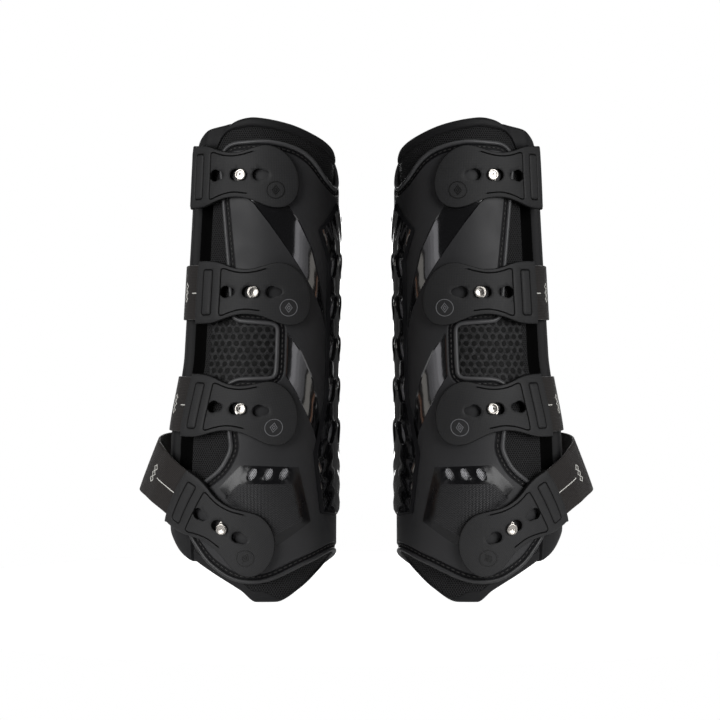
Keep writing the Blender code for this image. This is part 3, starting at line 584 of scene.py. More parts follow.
class Surface(Nodes):
    """One material: a principled shader whose sockets and bumps are wired."""

    def __init__(self, name, roughness, specular=0.5, **sockets):
        self.material = bpy.data.materials.new(name)
        super().__init__(self.material)
        self.shader = self.tree.nodes["Principled BSDF"]
        self.normal = None
        sockets.update(Roughness=roughness, Specular_IOR_Level=specular)
        for key, value in sockets.items():
            self.set(key.replace("_", " "), value)

    def set(self, socket, value):
        self.feed(self.shader.inputs[socket], value)

    def paint(self, share, low, high):
        self.set("Base Color", self.mix(share, low, high))

    def noise(self, scale, detail=2):
        place = self.node("TexCoord").outputs["Object"]
        return self.node("TexNoise", Vector=place, Scale=scale, Detail=detail, Roughness=0.5).outputs[0]

    def bump(self, height, distance, strength):
        below = {"Normal": self.normal} if self.normal else {}
        self.normal = self.node("Bump", Strength=strength, Distance=distance * MM, Height=height,
                                **below).outputs[0]
        self.set("Normal", self.normal)

    def grain(self, scale, distance, strength, detail=2):
        self.bump(self.noise(scale, detail), distance, strength)

    def hexagons(self, pitch):
        """Distance to the nearest point of a hexagonal lattice, in pitches."""
        scaled = self.vector("MULTIPLY", self.unrolled(), (1000 / pitch, 1000 / pitch / ROOT_3, 0))
        ways = []
        for shift in (0, 0.5):
            moved = self.vector("ADD", scaled, (shift, shift, 0))
            offset = self.vector("SUBTRACT", self.vector("FRACTION", moved), (0.5, 0.5, 0))
            ways.append(self.vector("LENGTH", self.vector("MULTIPLY", offset, (1, ROOT_3, 0))))
        return self.math("MINIMUM", *ways)

    def wave(self, pitch, axis):
        """Ribs from 0 to 1 along one of the unrolled directions."""
        turn = self.math("MULTIPLY", self.part(self.unrolled(), axis), 2000 * math.pi / pitch)
        return self.math("ADD", self.math("MULTIPLY", self.math("SINE", turn), 0.5), 0.5)


def shell_material():
    m = Surface("moulded_shell", 0.52, specular=0.4)
    m.paint(m.noise(9), (0.029, 0.029, 0.031), (0.038, 0.038, 0.04))
    m.set("Roughness", m.step(m.noise(60), 0.3, 0.7, 0.50, 0.58))
    m.grain(2600, 0.035, 0.55)
    m.grain(900, 0.05, 0.4)
    return m.material


def panel_material():
    m = Surface("panel_herringbone", 0.45, specular=0.35)
    across = m.math("MULTIPLY", m.part(m.unrolled(), 0), 1000 / 1.9)
    chevron = m.math("ABSOLUTE", m.math("SUBTRACT", m.math("FRACT", across), 0.5))
    rows = m.math("MULTIPLY", m.part(m.unrolled(), 1), 1000 / 1.15)
    ridge = m.math("PINGPONG", m.math("ADD", rows, m.math("MULTIPLY", chevron, 1.6)), 0.5)
    m.paint(m.step(ridge, 0.1, 0.4), (0.009, 0.009, 0.01), (0.042, 0.042, 0.044))
    m.bump(m.step(ridge, 0, 0.45), 0.14, 0.8)
    m.grain(1800, 0.02, 0.4)
    return m.material


def gloss_material(name="polished_black", roughness=0.08, shine=2, coat=0.6):
    m = Surface(name, roughness, Base_Color=(0.006, 0.006, 0.007), IOR=shine, Coat_Weight=coat, Coat_Roughness=0.04)
    m.set("Roughness", m.step(m.noise(40, 3), 0.3, 0.75, roughness, roughness + 0.05))
    if coat:
        m.grain(30, 0.05, 0.2, 1)
    return m.material


def rubber_material():
    m = Surface("tab_rubber", 0.55, specular=0.3)
    cloud = m.noise(30, 3)
    weave = m.math("MULTIPLY", m.wave(1.05, 0), m.wave(1.05, 1))
    both = m.math("ADD", m.math("MULTIPLY", cloud, 0.5), m.math("MULTIPLY", weave, 0.6))
    m.paint(both, (0.022, 0.022, 0.023), (0.042, 0.042, 0.043))
    m.set("Roughness", m.step(cloud, 0.3, 0.7, 0.52, 0.62))
    m.bump(weave, 0.09, 0.7)
    m.grain(2200, 0.03, 0.5)
    return m.material


def piping_material():
    """Paler up the sides than round the hem, where painted shade makes it darker towards the bottom."""
    m = Surface("edge_piping", 0.42)
    cloud = m.noise(140, 3)
    upper_tone = m.mix(cloud, (0.062, 0.062, 0.065), (0.09, 0.09, 0.093))
    shaded_lower_tone = m.mix(cloud, (0.024, 0.024, 0.025), (0.045, 0.045, 0.047))
    # Painted shade: the piping's colour goes darker from 90 mm down to 40 mm up, towards the hem.
    m.paint(m.step(m.part(m.unrolled(), 1), 0.04, 0.09), shaded_lower_tone, upper_tone)
    m.grain(1500, 0.03, 0.4)
    return m.material


def neoprene_material():
    m = Surface("neoprene", 0.62, specular=0.3, Sheen_Weight=0.18, Sheen_Roughness=0.4)
    knit = m.math("MULTIPLY", m.wave(0.7, 0), m.wave(1, 1))
    m.paint(knit, (0.008, 0.008, 0.009), (0.016, 0.016, 0.017))
    m.bump(knit, 0.06, 0.5)
    m.grain(160, 0.25, 0.25, 3)
    return m.material


def trough_shade_material():
    # Near-black and barely shiny: painted shade for the flap's trough under the liner's free edge.
    m = Surface("loop_tape", 0.9, specular=0.05)
    speckle = m.noise(1400, 3)
    m.paint(speckle, (0.0012, 0.0012, 0.0012), (0.004, 0.004, 0.004))
    m.bump(speckle, 0.3, 0.8)
    return m.material


def mesh_material():
    m = Surface("air_mesh", 0.6, specular=0.16, Sheen_Weight=0.05)
    hole = m.step(m.hexagons(1.6), 0.2, 0.44)
    m.paint(hole, (0.0008, 0.0008, 0.0008), (0.027, 0.027, 0.028))
    m.bump(hole, 0.45, 1)
    m.grain(900, 0.08, 0.5)
    return m.material


def notch_material():
    m = Surface("hex_mesh", 0.5, specular=0.2)
    hole = m.step(m.hexagons(5.2), 0.29, 0.38)
    knit = m.math("MULTIPLY", m.step(m.hexagons(0.95), 0.2, 0.45), m.step(m.noise(420), 0.35, 0.65, 0.35, 1))
    thread = m.math("MULTIPLY", m.math("ADD", m.math("MULTIPLY", hole, 0.93), 0.07), knit)
    m.paint(thread, (0.0005, 0.0005, 0.0005), (0.075, 0.075, 0.077))
    m.bump(hole, 0.35, 0.8)
    m.bump(knit, 0.2, 0.7)
    return m.material


def vent_material():
    m = Surface("vent_net", 0.4)
    hole = m.step(m.hexagons(1.1), 0.22, 0.34)
    m.paint(hole, (0.01, 0.01, 0.011), (0.62, 0.62, 0.64))
    m.bump(hole, 0.3, 1)
    return m.material


def elastic_material():
    m = Surface("woven_elastic", 0.62, specular=0.3, Sheen_Weight=0.3, Sheen_Roughness=0.35)
    thread = m.math("ADD", m.math("MULTIPLY", m.wave(1.05, 1), 0.65), m.math("MULTIPLY", m.wave(0.62, 0), 0.35))
    m.paint(thread, (0.013, 0.011, 0.0105), (0.036, 0.031, 0.029))
    m.bump(thread, 0.16, 0.8)
    m.grain(700, 0.08, 0.5, 3)
    return m.material


def nickel_material():
    m = Surface("nickel", 0.24, Metallic=1)
    m.set("Roughness", m.step(m.noise(700, 4), 0.3, 0.7, 0.2, 0.32))
    m.paint(m.noise(300, 3), (0.66, 0.63, 0.59), (0.54, 0.51, 0.47))
    m.grain(900, 0.02, 0.35, 3)
    return m.material


def plain_material(name, low, high, roughness, cloud=(500, 3), grain=(1500, 0.02, 0.4), **sockets):
    m = Surface(name, roughness, **sockets)
    m.paint(m.noise(*cloud), low, high)
    m.grain(*grain)
    return m.material


SHELL, PANEL, GLOSS = shell_material(), panel_material(), gloss_material()
CHANNEL = gloss_material("stitched_channel", 0.55, 1.25, 0)
BEVEL = gloss_material("panel_bevel", 0.26, 1.45, 0)
RUBBER, PIPING, NEOPRENE, MESH = rubber_material(), piping_material(), neoprene_material(), mesh_material()
TROUGH_SHADE, NOTCH, VENT, ELASTIC = trough_shade_material(), notch_material(), vent_material(), elastic_material()
NICKEL = nickel_material()
# Dark thread for the stitches, also laid on the tabs' edges as painted shade.
THREAD_AND_EDGE_SHADE = plain_material("thread", (0.003, 0.003, 0.003), (0.009, 0.009, 0.009), 0.6, (900, 2), (2500, 0.05, 0.6),
                        specular=0.15)
MARK = plain_material("off_white_mark", (0.92, 0.91, 0.86), (0.82, 0.81, 0.76), 0.6)
SILVER = plain_material("silver_print", (0.24, 0.24, 0.25), (0.16, 0.16, 0.17), 0.35)
EMBOSS = plain_material("embossed_black", (0.012, 0.012, 0.012), (0.02, 0.02, 0.02), 0.3)
SEWING = plain_material("sewing_thread", (0.045, 0.043, 0.042), (0.025, 0.024, 0.023), 0.45)
WASHER = plain_material("plain_washer", (0.45, 0.45, 0.46), (0.36, 0.36, 0.37), 0.4)


# Soft layers

def liner():
    """The pad and its mesh run on inside the cuff and the hem, so that no gap shows between them."""
    def knitted(angle, heights, lifts):
        return np.where(lifts > -0.9, 0.5 * np.sin(heights / 9 + angle / 30) * 0.25 + 0.1, 0)

    def in_notch(run, height):
        return int(run_at(-22) < run < run_at(41) and 139 < height < 196)

    layer("liner_pad", LINER, 3, lambda a: hem_top(a) - 1.4, lambda a: cuff_seam(a) + 1, lambda a: PAD_LIFTS, 60,
          NEOPRENE, "neoprene", nodes=["inner_pad"], padded=0.5)
    layer("air_mesh", LINER, 1.5, lambda a: hem_top(a) - 0.9, lambda a: cuff_seam(a) + 0.4, lambda a: MESH_LIFTS,
          60, [MESH, NOTCH], "mesh", puff=knitted, kind=in_notch, nodes=["mesh_cover"])


def front_flap():
    """Rolled in along its top, lower where it comes under the liner, and with painted shade in the trough:
    near-black faces there.
    """
    def low(angle):
        dip = 3.2 * math.exp(-((angle + 41) / 18)**2)
        return edge_height(HEM, angle if angle > -90 else angle + 360) - dip

    def rolled(angle, heights, lifts):
        below = edge_height(FLAP_TOP, angle) - heights
        roll = -2.2 * ease(1 - below / 20)**2 * ease((angle + 150) / 30)
        return roll + flap_lift(angle, heights) - flap_lift(angle)

    # Faces in the trough take the painted shade material.
    def in_shaded_trough(run, height):
        return int(run > run_at(-51) and 60 < height < 298)

    layer("flap", FLAP, 2, low, lambda a: edge_height(FLAP_TOP, a),
          lambda a: (flap_lift(a) - FLAP_THICKNESS, flap_lift(a)), 70, [NEOPRENE, TROUGH_SHADE], "neoprene", puff=rolled,
          section=(5, 1, 0.5), kind=in_shaded_trough, nodes=["front_flap"], padded=0.6)


def hem_and_cuff():
    layer("hem_fold", LINER, 1.5, lambda a: edge_height(HEM, a), hem_top, lambda a: HEM_LIFTS, 8, NEOPRENE,
          "neoprene", section=(6, 0.35, 0.7), nodes=["hem_binding"])
    turn = circle(28)
    across, up = (np.sign(wave) * np.abs(wave)**CUFF_SQUARE for wave in (np.cos(turn), np.sin(turn)))
    rings, uv = [], []
    for angle in np.linspace(*LINER, 110):
        heights = cuff_seam(angle) + cuff_height(angle) * (0.5 + 0.5 * up)
        rings.append(on_leg(angle, heights, CUFF_LIFT + CUFF_HALF * across))
        uv.append(unrolled(angle, heights))
    tube("cuff_roll", rings, uv, NEOPRENE, "neoprene", nodes=["top_cuff"], padded=0.8)


# Shell

SHELL_LOOP = refined(rounded(both_sides([(float(run_at(a)), h, r) for a, h, r in SHELL_EDGE])), 2.6)
FOOT, TOP, HIGH, LOW = (np.array([(run_at(a), h) for a, h in edge])
                        for edge in (PANEL_FOOT, PANEL_TOP, STRIPE_HIGH, STRIPE_LOW))


def panel_rise(points):
    """How far the fetlock panel stands up: most at its back, and sloping down between its top and its foot."""
    side = folded(points)
    edge = (TOP[2] - TOP[1]) / np.linalg.norm(TOP[2] - TOP[1])
    away = (side - TOP[1]) @ np.array((-edge[1], edge[0]))
    full = 0.8 + 1.8 * ease(away / 26 + 0.1)
    foot, top = distance_to(FOOT, side), distance_to(TOP, side)
    sloped = full * foot / (foot + top + 1e-9)
    rise = np.where(inside(TOP, side) | (top < 1e-3), full, sloped)
    return np.where(inside(FOOT, side), rise, 0)


def with_mirrored(loops):
    return loops + [mirrored(loop) for loop in loops]


def shell():
    """Moulded plate with sunk stripes, panels, vents, stud holes and a window for the guard."""
    vents = with_mirrored([oval(float(run_at(a)), VENT_HEIGHT, 2.5, 4.1, 20, slant=1.3) for a in PANEL_VENTS])
    half, low, high = GUARD_WINDOW
    window = rounded([(BACK + x, y, 4) for x, y in ((-half, low), (half, low), (half, high), (-half, high))])
    studs = [oval(float(run_at(s["stud"][0])), s["stud"][1], 2.7, 2.7, 16) for s in STRAPS]
    stripes = with_mirrored([refined(HIGH, 3), refined(LOW, 3)])
    creases = [grown(SHELL_LOOP, d) for d in (2.75, 0.35, 0, -SHELL_BEVEL)]
    creases += [grown(stripe, d) for stripe in stripes for d in (0, -SHELL_BEVEL)]
    creases += with_mirrored([refined(FOOT, 3), refined(TOP, 3)]) + [grown(vent, VENT_LIP) for vent in vents]
    holes = studs + vents + [refined(window, 5)]
    flat, triangles = triangulated(grown(SHELL_LOOP, FLANGE), holes, creases, (2.4, 3.4))
    from_edge = distance_to(SHELL_LOOP, flat)
    depth = np.where(inside(SHELL_LOOP, flat), from_edge, -from_edge)
    top = SHELL_TOP - 0.5 * (1 - ease(depth / SHELL_BEVEL))
    top = np.where(depth < -0.02, FLANGE_TOP - 0.2 * np.sin(np.clip(-depth / FLANGE, 0, 1) * math.pi), top)
    top = np.where((depth < -0.02) & (depth > -0.34), FLANGE_TOP + 0.05, top)
    top += panel_rise(flat)
    for stripe in stripes:
        away = distance_to(stripe, flat)
        top -= np.where(inside(stripe, flat) & (away > 0.01), STRIPE_DEPTH * ease(away / SHELL_BEVEL), 0)
    for vent in vents:
        top += np.where(~inside(vent, flat), 0.45 * (1 - ease(distance_to(vent, flat) / VENT_LIP)), 0)
    solid, faces, uv, outer = two_sided(flat, triangles, on_unrolled, top, SHELL_FOOT)
    middle = flat[triangles].mean(axis=1)
    side = folded(middle)
    materials = [SHELL, GLOSS, CHANNEL, PANEL, BEVEL]
    kinds = np.zeros(len(faces), int)
    for area, material in ((inside(HIGH, side) | inside(LOW, side), GLOSS), (inside(FOOT, side), BEVEL),
                           (inside(TOP, side), PANEL), (~inside(grown(SHELL_LOOP, 0.2), middle), CHANNEL)):
        kinds[:outer][area] = materials.index(material)
    add("moulded_shell", solid, faces, materials, "boot", "shell", uv, kinds, nodes=["shell"], sharp=28)
    points, faces, uv = [], [], []
    for net in (grown(vent, 0.4) for vent in vents):
        first, count, middle = len(points), len(net), net.mean(axis=0)
        points += [*on_unrolled(net, NET_LIFT), *on_unrolled(middle[None, :], NET_LIFT + 0.5)]
        uv += [*net, middle]
        faces += [[first + i, first + (i + 1) % count, first + count] for i in range(count)]
    add("vent_net", np.array(points), faces, VENT, "boot", "mesh", np.array(uv))


def piping():
    route = grown(SHELL_LOOP, FLANGE + PIPING_RADIUS + PIPING_GAP)
    step = np.roll(route, -1, axis=0) - np.roll(route, 1, axis=0)
    step /= np.linalg.norm(step, axis=1)[:, None]
    turn = circle(14)
    rings, uv = [], []
    for point, (x, y) in zip(route, step):
        place = point + np.outer(PIPING_RADIUS * np.cos(turn), (y, -x))
        rings.append(on_unrolled(place, PIPING_LIFT + 1.6 * np.sin(turn)))
        uv.append(place)
    tube("edge_piping", rings, uv, PIPING, "piping", closed=True, nodes=["shell_piping"], sharp=80)


def beads(name, route, place, lift, pitch, length, width, rise, material, body, slot):
    """A row of stitches along a closed flat route."""
    ends = np.vstack((route, route[:1]))
    run, turn = distances(ends), circle(8)

    def point_at(distance):
        return np.array([np.interp(distance, run, values) for values in ends.T])

    points, faces, uv = [], [], []
    for centre in np.arange(pitch / 2, run[-1] - pitch / 4, pitch):
        first, rows = len(points), []
        for share in (-1, -0.85, -0.4, 0.4, 0.85, 1):
            at = centre + share * length / 2
            where = point_at(at)
            along = point_at(at + 0.3) - where
            along /= np.linalg.norm(along) + 1e-9
            size = math.sqrt(max(1 - share * share, 0.03))
            flat = where + np.outer(np.cos(turn) * width / 2 * size, (along[1], -along[0]))
            rows.append(place(flat, lift + np.sin(turn) * rise * size))
            uv.append(flat)
        made, own = swept(rows)
        points += list(made)
        faces += [[first + v for v in face] for face in own]
    add(name, np.array(points), faces, material, body, slot, np.concatenate(uv), sharp=80)


def guard():
    """Glossy plate up the tendon with lipped vents, ridges above them and chevrons below, and a net behind."""
    outline = refined(rounded(both_sides([(BACK - away, height, 2) for away, height in GUARD_EDGE]), 4), 2)
    vents = []
    for height in GUARD_ROWS:
        vents += with_mirrored([oval(BACK - 5.2, height, 3.3, 7.6, 24, 1.7)])
    creases = [grown(outline, d) for d in (-0.7, -GUARD_BORDER)]
    creases += [grown(vent, d) for vent in vents for d in (0.7, 1.5, 2.3)]
    flat, triangles = triangulated(outline, vents, creases, (1.8, 2.4), 0.4)
    x, y = flat[:, 0], flat[:, 1]
    inward = distance_to(outline, flat)
    top = GUARD_TOP - 0.9 * (1 - ease(inward / GUARD_BORDER))
    for vent in vents:
        away = distance_to(vent, flat)
        up = ease((y - vent[:, 1].mean() + 7) / 12)
        top += (0.2 + 0.7 * up) * (1 - ease((away - 0.4) / 2.8)) - 0.5 * (1 - ease(away / 0.7))
    ridge = np.abs(((x - BACK) / 7.5 + (y - 236) / 16) % 1 - 0.5)
    top += ease((y - 236) / 6) * (0.5 - 1.6 * ridge) * ease(inward / 3)
    chevron = np.abs(((y + 0.8 * np.abs(x - BACK)) / 13) % 1 - 0.5)
    top += ease((100 - y) / 6) * (0.4 - 1.5 * chevron) * ease(inward / 3)
    solid, faces, uv, outer = two_sided(flat, triangles, on_unrolled, top, GUARD_FOOT)
    kinds = np.ones(len(faces), int)
    kinds[:outer] = distance_to(outline, flat[triangles].mean(axis=1)) < GUARD_BORDER
    add("guard_lips", solid, faces, [GLOSS, CHANNEL], "boot", "gloss", uv, kinds, nodes=["tendon_guard"], sharp=24)
    columns, rows = 16, 50
    runs, heights = np.meshgrid(np.linspace(BACK - 9.2, BACK + 9.2, columns), np.linspace(102.5, 236.5, rows),
                                indexing="ij")
    net = np.stack((runs.ravel(), heights.ravel()), 1)
    faces = [[a, a + rows, a + rows + 1, a + 1] for a in range((columns - 1) * rows) if (a + 1) % rows]
    add("guard_net", on_unrolled(net, NET_LIFT), faces, VENT, "boot", "mesh", net)


# Straps

def keyhole(along):
    wide = along - KEYHOLE_DROP
    reach = math.acos((KEYHOLE_ROUND - KEYHOLE_NARROW) / KEYHOLE_DROP)
    first = np.linspace(-reach, reach, 10)
    second = np.linspace(0.72 * reach, 2 * math.pi - 0.72 * reach, 22)
    return np.concatenate((np.stack((along + KEYHOLE_NARROW * np.cos(first), KEYHOLE_NARROW * np.sin(first)), 1),
                           np.stack((wide + KEYHOLE_ROUND * np.cos(second), KEYHOLE_ROUND * np.sin(second)), 1)))


TAB_OUTLINE = refined(curved(TAB_EDGE[::-1]), 1.8)
TAB_HOLES = [keyhole(pitch * KEYHOLE_PITCH) for pitch in (-1, 0, 1)]
GROOVE = curved(TAB_GROOVE, closed=False)
WINDOW = refined(rounded(TAB_WINDOW, 5), 2.2)
EDGE_ROUND = 0.9


def tab_shape():
    """The tab's flat points, their triangles and how far each point stands above its face."""
    creases = [grown(TAB_OUTLINE, -d) for d in (0.15, 0.45, 0.95)]
    creases += [grown(hole, d) for hole in TAB_HOLES for d in (0.2, 0.6)]
    creases += [grown(WINDOW, d) for d in (0.8, 0.4, 0, -0.4, -0.8, -1.2)]
    lines = [grown(GROOVE, d, closed=False) for d in (-0.5, 0, 0.5)]
    flat, triangles = triangulated(TAB_OUTLINE, TAB_HOLES, creases, (2, 2), lines=lines)
    inward, frame_away = distance_to(TAB_OUTLINE, flat), distance_to(WINDOW, flat)
    rise = -EDGE_ROUND + np.sqrt(np.clip(EDGE_ROUND**2 - (EDGE_ROUND - np.minimum(inward, EDGE_ROUND))**2, 0, None))
    for hole in TAB_HOLES:
        rise -= 0.45 * (1 - ease(distance_to(hole, flat) / 0.6))
    rise -= 0.55 * (1 - ease(distance_to(GROOVE, flat, False) / 0.5))
    rise -= 0.7 * (1 - ease(frame_away / 0.8))
    rise += 0.25 * ease((frame_away - 0.6) / 0.6) * inside(WINDOW, flat)
    rise += 0.3 * ease(-23.6 - flat[:, 0]) * ease(inward / 1.5)
    return flat, triangles, rise


TAB_SHAPE = tab_shape()


def tab_base(number, along):
    return TAB_ROOT_LIFT + (TAB_LIFT - TAB_ROOT_LIFT) * ease((along + 32) / 14) + STRAPS[number]["spare"]


def on_face(number, base):
    """A way to place flat points on a strap, lifted off a base that is a function of how far along they are."""
    return lambda points, lift: on_strap(number, points[:, 0], points[:, 1], base(points[:, 0]) + lift)


def tab(number):
    label, (flat, triangles, rise) = number + 1, TAB_SHAPE
    base = tab_base(number, flat[:, 0])
    solid, faces, uv, outer = two_sided(flat, triangles, on_face(number, lambda along: 0),
                                        base + TAB_THICKNESS + rise, base)
    middle = flat[triangles].mean(axis=1)
    kinds = np.zeros(len(faces), int)
    # Dark thread material on faces along the groove and the window frame, and as painted shade on the top's
    # outermost ring and the side walls.
    kinds[:outer] = ((distance_to(GROOVE, middle, False) < 0.36) | (distance_to(WINDOW, middle) < 0.5)
                     | (distance_to(TAB_OUTLINE, middle) < 0.3))
    kinds[2 * outer:] = 1
    add(f"tab_plate_{label}", solid, faces, [RUBBER, THREAD_AND_EDGE_SHADE], f"tab_{label}", "rubber", uv, kinds,
        nodes=[f"strap_tab_{label}"], sharp=40)
    on_tab = on_face(number, lambda along: tab_base(number, along) + TAB_THICKNESS)
    beads(f"tab_stitches_{label}", WINDOW, on_tab, **TAB_STITCH, material=THREAD_AND_EDGE_SHADE, body=f"tab_{label}",
          slot="rubber")
    emblem(label, on_tab)


def flat_lines(name, lines, width, rise, place, material, body, slot):
    """Raised flat lines along flat routes, each (points, closed)."""
    points, faces, uv = [], [], []
    for route, closed in lines:
        first, count = len(points), len(route)
        for a, b in zip(grown(route, -width / 2, closed), grown(route, width / 2, closed)):
            flat = np.stack((a, a + (b - a) * 0.2, a + (b - a) * 0.8, b))
            points += list(place(flat, np.array((-0.05, rise, rise, -0.05))))
            uv.append(flat)
        for i in range(count if closed else count - 1):
            a, b = first + i * 4, first + ((i + 1) % count) * 4
            faces += [[a + j, a + j + 1, b + j + 1, b + j] for j in range(3)]
    add(name, np.array(points), faces, material, body, slot, np.concatenate(uv))


def emblem(label, on_tab):
    """A plain ring round two diamonds, printed on the middle tabs and embossed on the others."""
    x, y, radius = EMBLEM
    ring = oval(x, y, radius - 0.3, radius - 0.3, 40)
    diamond = np.array(((x, y - 3), (x + 2.2, y), (x, y + 3), (x - 2.2, y)))
    small = np.array((x, y)) + (diamond - (x, y)) * 0.42
    lines = [(ring, True), (refined(diamond, 1), True), (refined(small, 0.6), True)]
    width, rise, material = (0.55, 0.14, SILVER) if label in (2, 3) else (0.7, 0.22, EMBOSS)
    flat_lines(f"tab_emblem_{label}", lines, width, rise, on_tab, material, f"tab_{label}", "rubber")


def elastic_lift(strap, angle):
    """Close on the padding round the front, and over the shell's edge and under the tab at its ends."""
    low = ELASTIC_LIFT + 0.6 * strap["spare"]
    sunk = 1.7 * ease((angle + 140) / 14) * ease((-50 - angle) / 16)
    return low - sunk + (ANCHOR_LIFT - low) * ease((-145 - angle) / 10)


def elastic(number):
    """The band from its sewn end to the tab, and the stitches that hold its end."""
    strap, course, label = STRAPS[number], COURSES[number], number + 1
    hinge = float(np.interp(strap["hinge"], course[1], course[0]))
    start, end = hinge - ANCHOR_LENGTH, -36
    side = np.linspace(-1, 1, 13) * (ELASTIC_HALF - 0.3)
    across = np.concatenate((side, (ELASTIC_HALF,), side[::-1], (-ELASTIC_HALF,)))[::-1]
    out = np.concatenate((np.full(13, ELASTIC_THICKNESS), (0.7,), np.full(13, 0.05), (0.7,)))[::-1]
    rings, uv = [], []
    for along in np.linspace(start, end, int((end - start) / 2.2)):
        base = elastic_lift(strap, float(np.interp(along, *course)))
        rings.append(on_strap(number, along, across, base + out))
        uv.append(np.stack((np.full(len(across), along), across), 1))
    middle = elastic_lift(strap, strap["hinge"]) + 0.65
    tube(f"elastic_band_{label}", rings, uv, ELASTIC, "elastic", f"strap_{label}", sharp=50,
         nodes=[f"elastic_{label}", f"elastic_anchor_{label}"],
         hinge=[on_strap(number, hinge + shift, 0, middle) for shift in (-0.8, 5)])
    low, high, half = start + 3, hinge - 8, 15.5
    box = rounded([(low, -half, 1), (high, -half, 1), (high, half, 1), (low, half, 1)], 3)
    beads(f"elastic_stitches_{label}", refined(box, 3),
          on_face(number, lambda along: ANCHOR_LIFT + ELASTIC_THICKNESS), **ELASTIC_STITCH,
          material=SEWING, body="boot", slot="elastic")


def mark(number, centre, line):
    """A small off-white mark of plain diamonds and a thin line, printed on the elastic."""
    def face(along):
        return elastic_lift(STRAPS[number], np.interp(along, *COURSES[number])) + ELASTIC_THICKNESS + 0.03

    lines = []
    for step in (-4.2, 0, 4.2):
        diamond = np.array(((centre, step - 2.1), (centre + 2.6, step), (centre, step + 2.1), (centre - 2.6, step)))
        lines.append((refined(diamond, 1.2), True))
    lines.append((refined(np.array([(along, -0.5) for along in line]), 1.5, closed=False), False))
    flat_lines(f"elastic_mark_{number + 1}", lines, 0.7, 0.07, on_face(number, face), MARK, f"strap_{number + 1}",
               "elastic")


def stud(number):
    """Flat head with a bright bevelled rim round an inset middle, its neck and the disc under the tab."""
    strap = STRAPS[number]
    middle = TAB_LIFT + strap["spare"] + TAB_THICKNESS / 2
    head = TAB_LIFT + strap["spare"] + TAB_THICKNESS + 0.8
    angle, height = strap["stud"]
    around = on_leg(angle + 1, height, 0) - on_leg(angle - 1, height, 0)
    axis = np.cross(around, on_leg(angle, height + 1, 0) - on_leg(angle, height - 1, 0))
    axis /= np.linalg.norm(axis)
    origin = on_leg(angle, height, middle) - axis * middle
    side = around / np.linalg.norm(around)
    profile = [(0, 0.35), (2, 0.35), (2, 4), (4.8, 4), (5.1, 4.12), (5.1, 4.3), (4.9, 4.45), (4.4, 4.5),
               (2, 4.5)]
    profile += [(radius, head + above) for radius, above in STUD_HEAD]
    turn = circle(40)
    ring = np.outer(np.cos(turn), side) + np.outer(np.sin(turn), np.cross(axis, side))
    points, faces, firsts = [], [], []
    for radius, level in profile:
        firsts.append(len(points))
        centre = origin + axis * level
        points += list(centre + radius * ring) if radius else [centre]
    for (inner, _), (outer, _), a, b in zip(profile, profile[1:], firsts, firsts[1:]):
        for i in range(40):
            k = (i + 1) % 40
            if not inner:
                faces.append([a, b + k, b + i])
            elif not outer:
                faces.append([a + i, a + k, b])
            else:
                faces.append([a + i, a + k, b + k, b + i])
    label = number + 1
    add(f"stud_turned_{label}", np.array(points), faces, NICKEL, "boot", "stud", np.zeros((len(points), 2)),
        nodes=[f"stud_{label}"], sharp=32)


liner()
front_flap()
hem_and_cuff()
shell()
piping()
beads("edge_stitches", grown(SHELL_LOOP, 1.7), on_unrolled, **EDGE_STITCH, material=SEWING, body="boot",
      slot="piping")
guard()
for number in range(len(STRAPS)):
    tab(number)
    elastic(number)
    if number in MARKS:
        mark(number, *MARKS[number])
    stud(number)

for side in ("left", "right"):
    for number in range(1, 5):
        washer = frame["nodes"][f"{side}_stud_washer_{number}"]
        for place in washer.material_slots:
            place.material = WASHER


# Studio

ROOM_FRONT, ROOM_BACK = 0.03, 0.07
FLOOR_RADIUS, FLOOR_GLOW_SEEN, FLOOR_GLOW = 0.34, 0.8, 0.12
COOL, PALE, BROWN, WHITE = (0.96, 0.95, 1), (1, 0.96, 0.9), (1, 0.5, 0.3), (1, 1, 1)
STRIPS = ((37, 0.26, 1, COOL), (43.5, 0.2, 0.64, COOL), (49, 0.2, 0.46, COOL), (55, 0.22, 0.34, COOL),
          (66.5, 0.34, 0.7, PALE), (79, 0.14, 0.5, BROWN))
LAMPS = {"top": (0, 0.6, 1.7, 1.2, 0.7, 1.2), "back": (180, 1.8, 0.6, 1.2, 1.2, 2.8),
         "side_left": (-103, 1.9, 0.5, 0.5, 1, 0.9), "side_right": (103, 1.9, 0.5, 0.5, 1, 0.9)}


def surroundings():
    """Even white behind the object, and a dim room with a paler back wall for what the surfaces reflect."""
    world = bpy.data.worlds.new("studio")
    bpy.context.scene.world = world
    n = Nodes(world)
    along = n.part(n.node("TexCoord").outputs["Generated"], 1)
    wall = n.step(along, 0.3, 0.9, ROOM_FRONT, ROOM_BACK)
    seen = n.node("LightPath").outputs["Is Camera Ray"]
    sky = n.tree.nodes["Background"].inputs
    n.feed(sky["Strength"], n.mix(seen, wall, 1, "FLOAT"))
    n.feed(sky["Color"], WHITE)


def place_in_scene(name, data, place):
    obj = bpy.data.objects.new(name, data)
    obj.location = place
    bpy.context.scene.collection.objects.link(obj)
    return obj


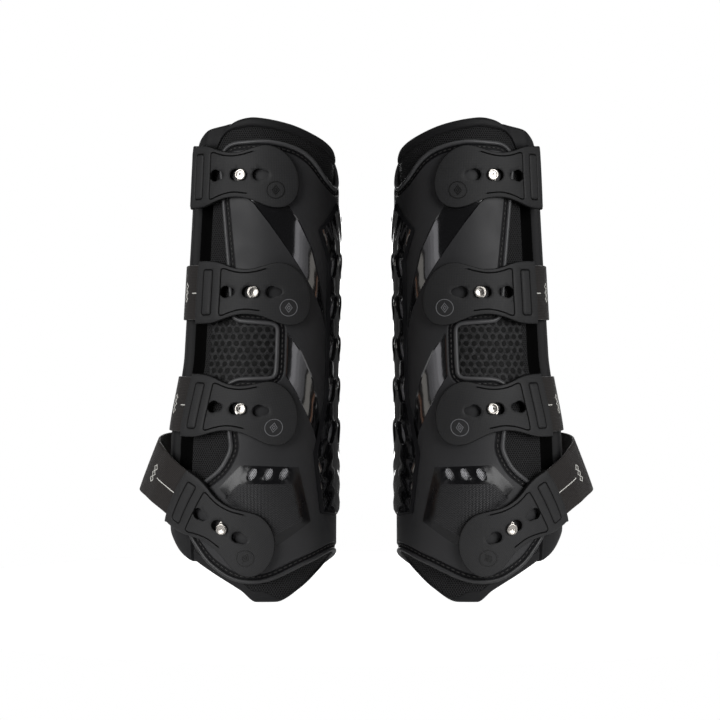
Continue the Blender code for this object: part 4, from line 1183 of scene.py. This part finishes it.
def floor():
    """Pale disc that shows as bright as the backdrop, but throws less light up at the object."""
    mesh = bpy.data.meshes.new("floor")
    mesh.from_pydata([(FLOOR_RADIUS * math.cos(t), FLOOR_RADIUS * math.sin(t), -0.0005) for t in circle(96)], [],
                     [tuple(range(96))])
    m = Surface("floor", 0.8, Emission_Color=WHITE)
    m.paint(m.noise(2), (0.78, 0.78, 0.78), (0.82, 0.82, 0.82))
    seen = m.node("LightPath").outputs["Is Camera Ray"]
    m.set("Emission Strength", m.math("ADD", m.math("MULTIPLY", seen, FLOOR_GLOW_SEEN), FLOOR_GLOW))
    mesh.materials.append(m.material)
    obj = place_in_scene("floor", mesh, (0, 0, 0))
    return obj


def lamp(name, azimuth, distance, height, width, tall, glow, aim=0.16, colour=WHITE, lit=None):
    """Area light of a given radiance at an azimuth from the camera's side, positive to the right."""
    light = bpy.data.lights.new(name, "AREA")
    light.shape = "RECTANGLE"
    light.size, light.size_y = width, tall
    light.energy = glow * math.pi * width * tall
    light.color = colour
    turn = math.radians(azimuth)
    obj = place_in_scene(name, light, (distance * math.sin(turn), -distance * math.cos(turn), height))
    obj.rotation_euler = (Vector((0, 0, aim)) - obj.location).to_track_quat("-Z", "Y").to_euler()
    if lit is not None:
        obj.light_linking.receiver_collection = lit


def studio():
    """A soft key and a row of strips for each boot, mirror images, then the lamps that both share and the camera.
    """
    surroundings()
    ground = floor()
    for side, sign in (("left", 1), ("right", -1)):
        lit = bpy.data.collections.new(f"lit_{side}")
        for obj in bpy.data.objects:
            if obj.type == "MESH" and obj.name.startswith(side) or obj == ground:
                lit.objects.link(obj)
        lamp(f"key_{side}", -40 * sign, 1.8, 0.6, 0.95, 1.2, 5.2, lit=lit)
        for number, (azimuth, width, glow, colour) in enumerate(STRIPS, 1):
            lamp(f"strip_{side}_{number}", azimuth * sign, 2, 0.25, width, 0.75, glow, colour=colour, lit=lit)
    for name, values in LAMPS.items():
        lamp(name, *values, aim=0.2 if name == "top" else 0.16)
    camera = bpy.data.cameras.new("camera")
    camera.lens, camera.sensor_width = 110.48, 36
    camera.clip_start, camera.clip_end = 0.05, 50
    obj = place_in_scene("camera", camera, (-0.0044, -1.5025, 0.1602))
    obj.rotation_euler = (math.radians(90), 0, 0)
    bpy.context.scene.camera = obj
    bpy.context.scene.view_settings.view_transform = "Standard"


studio()
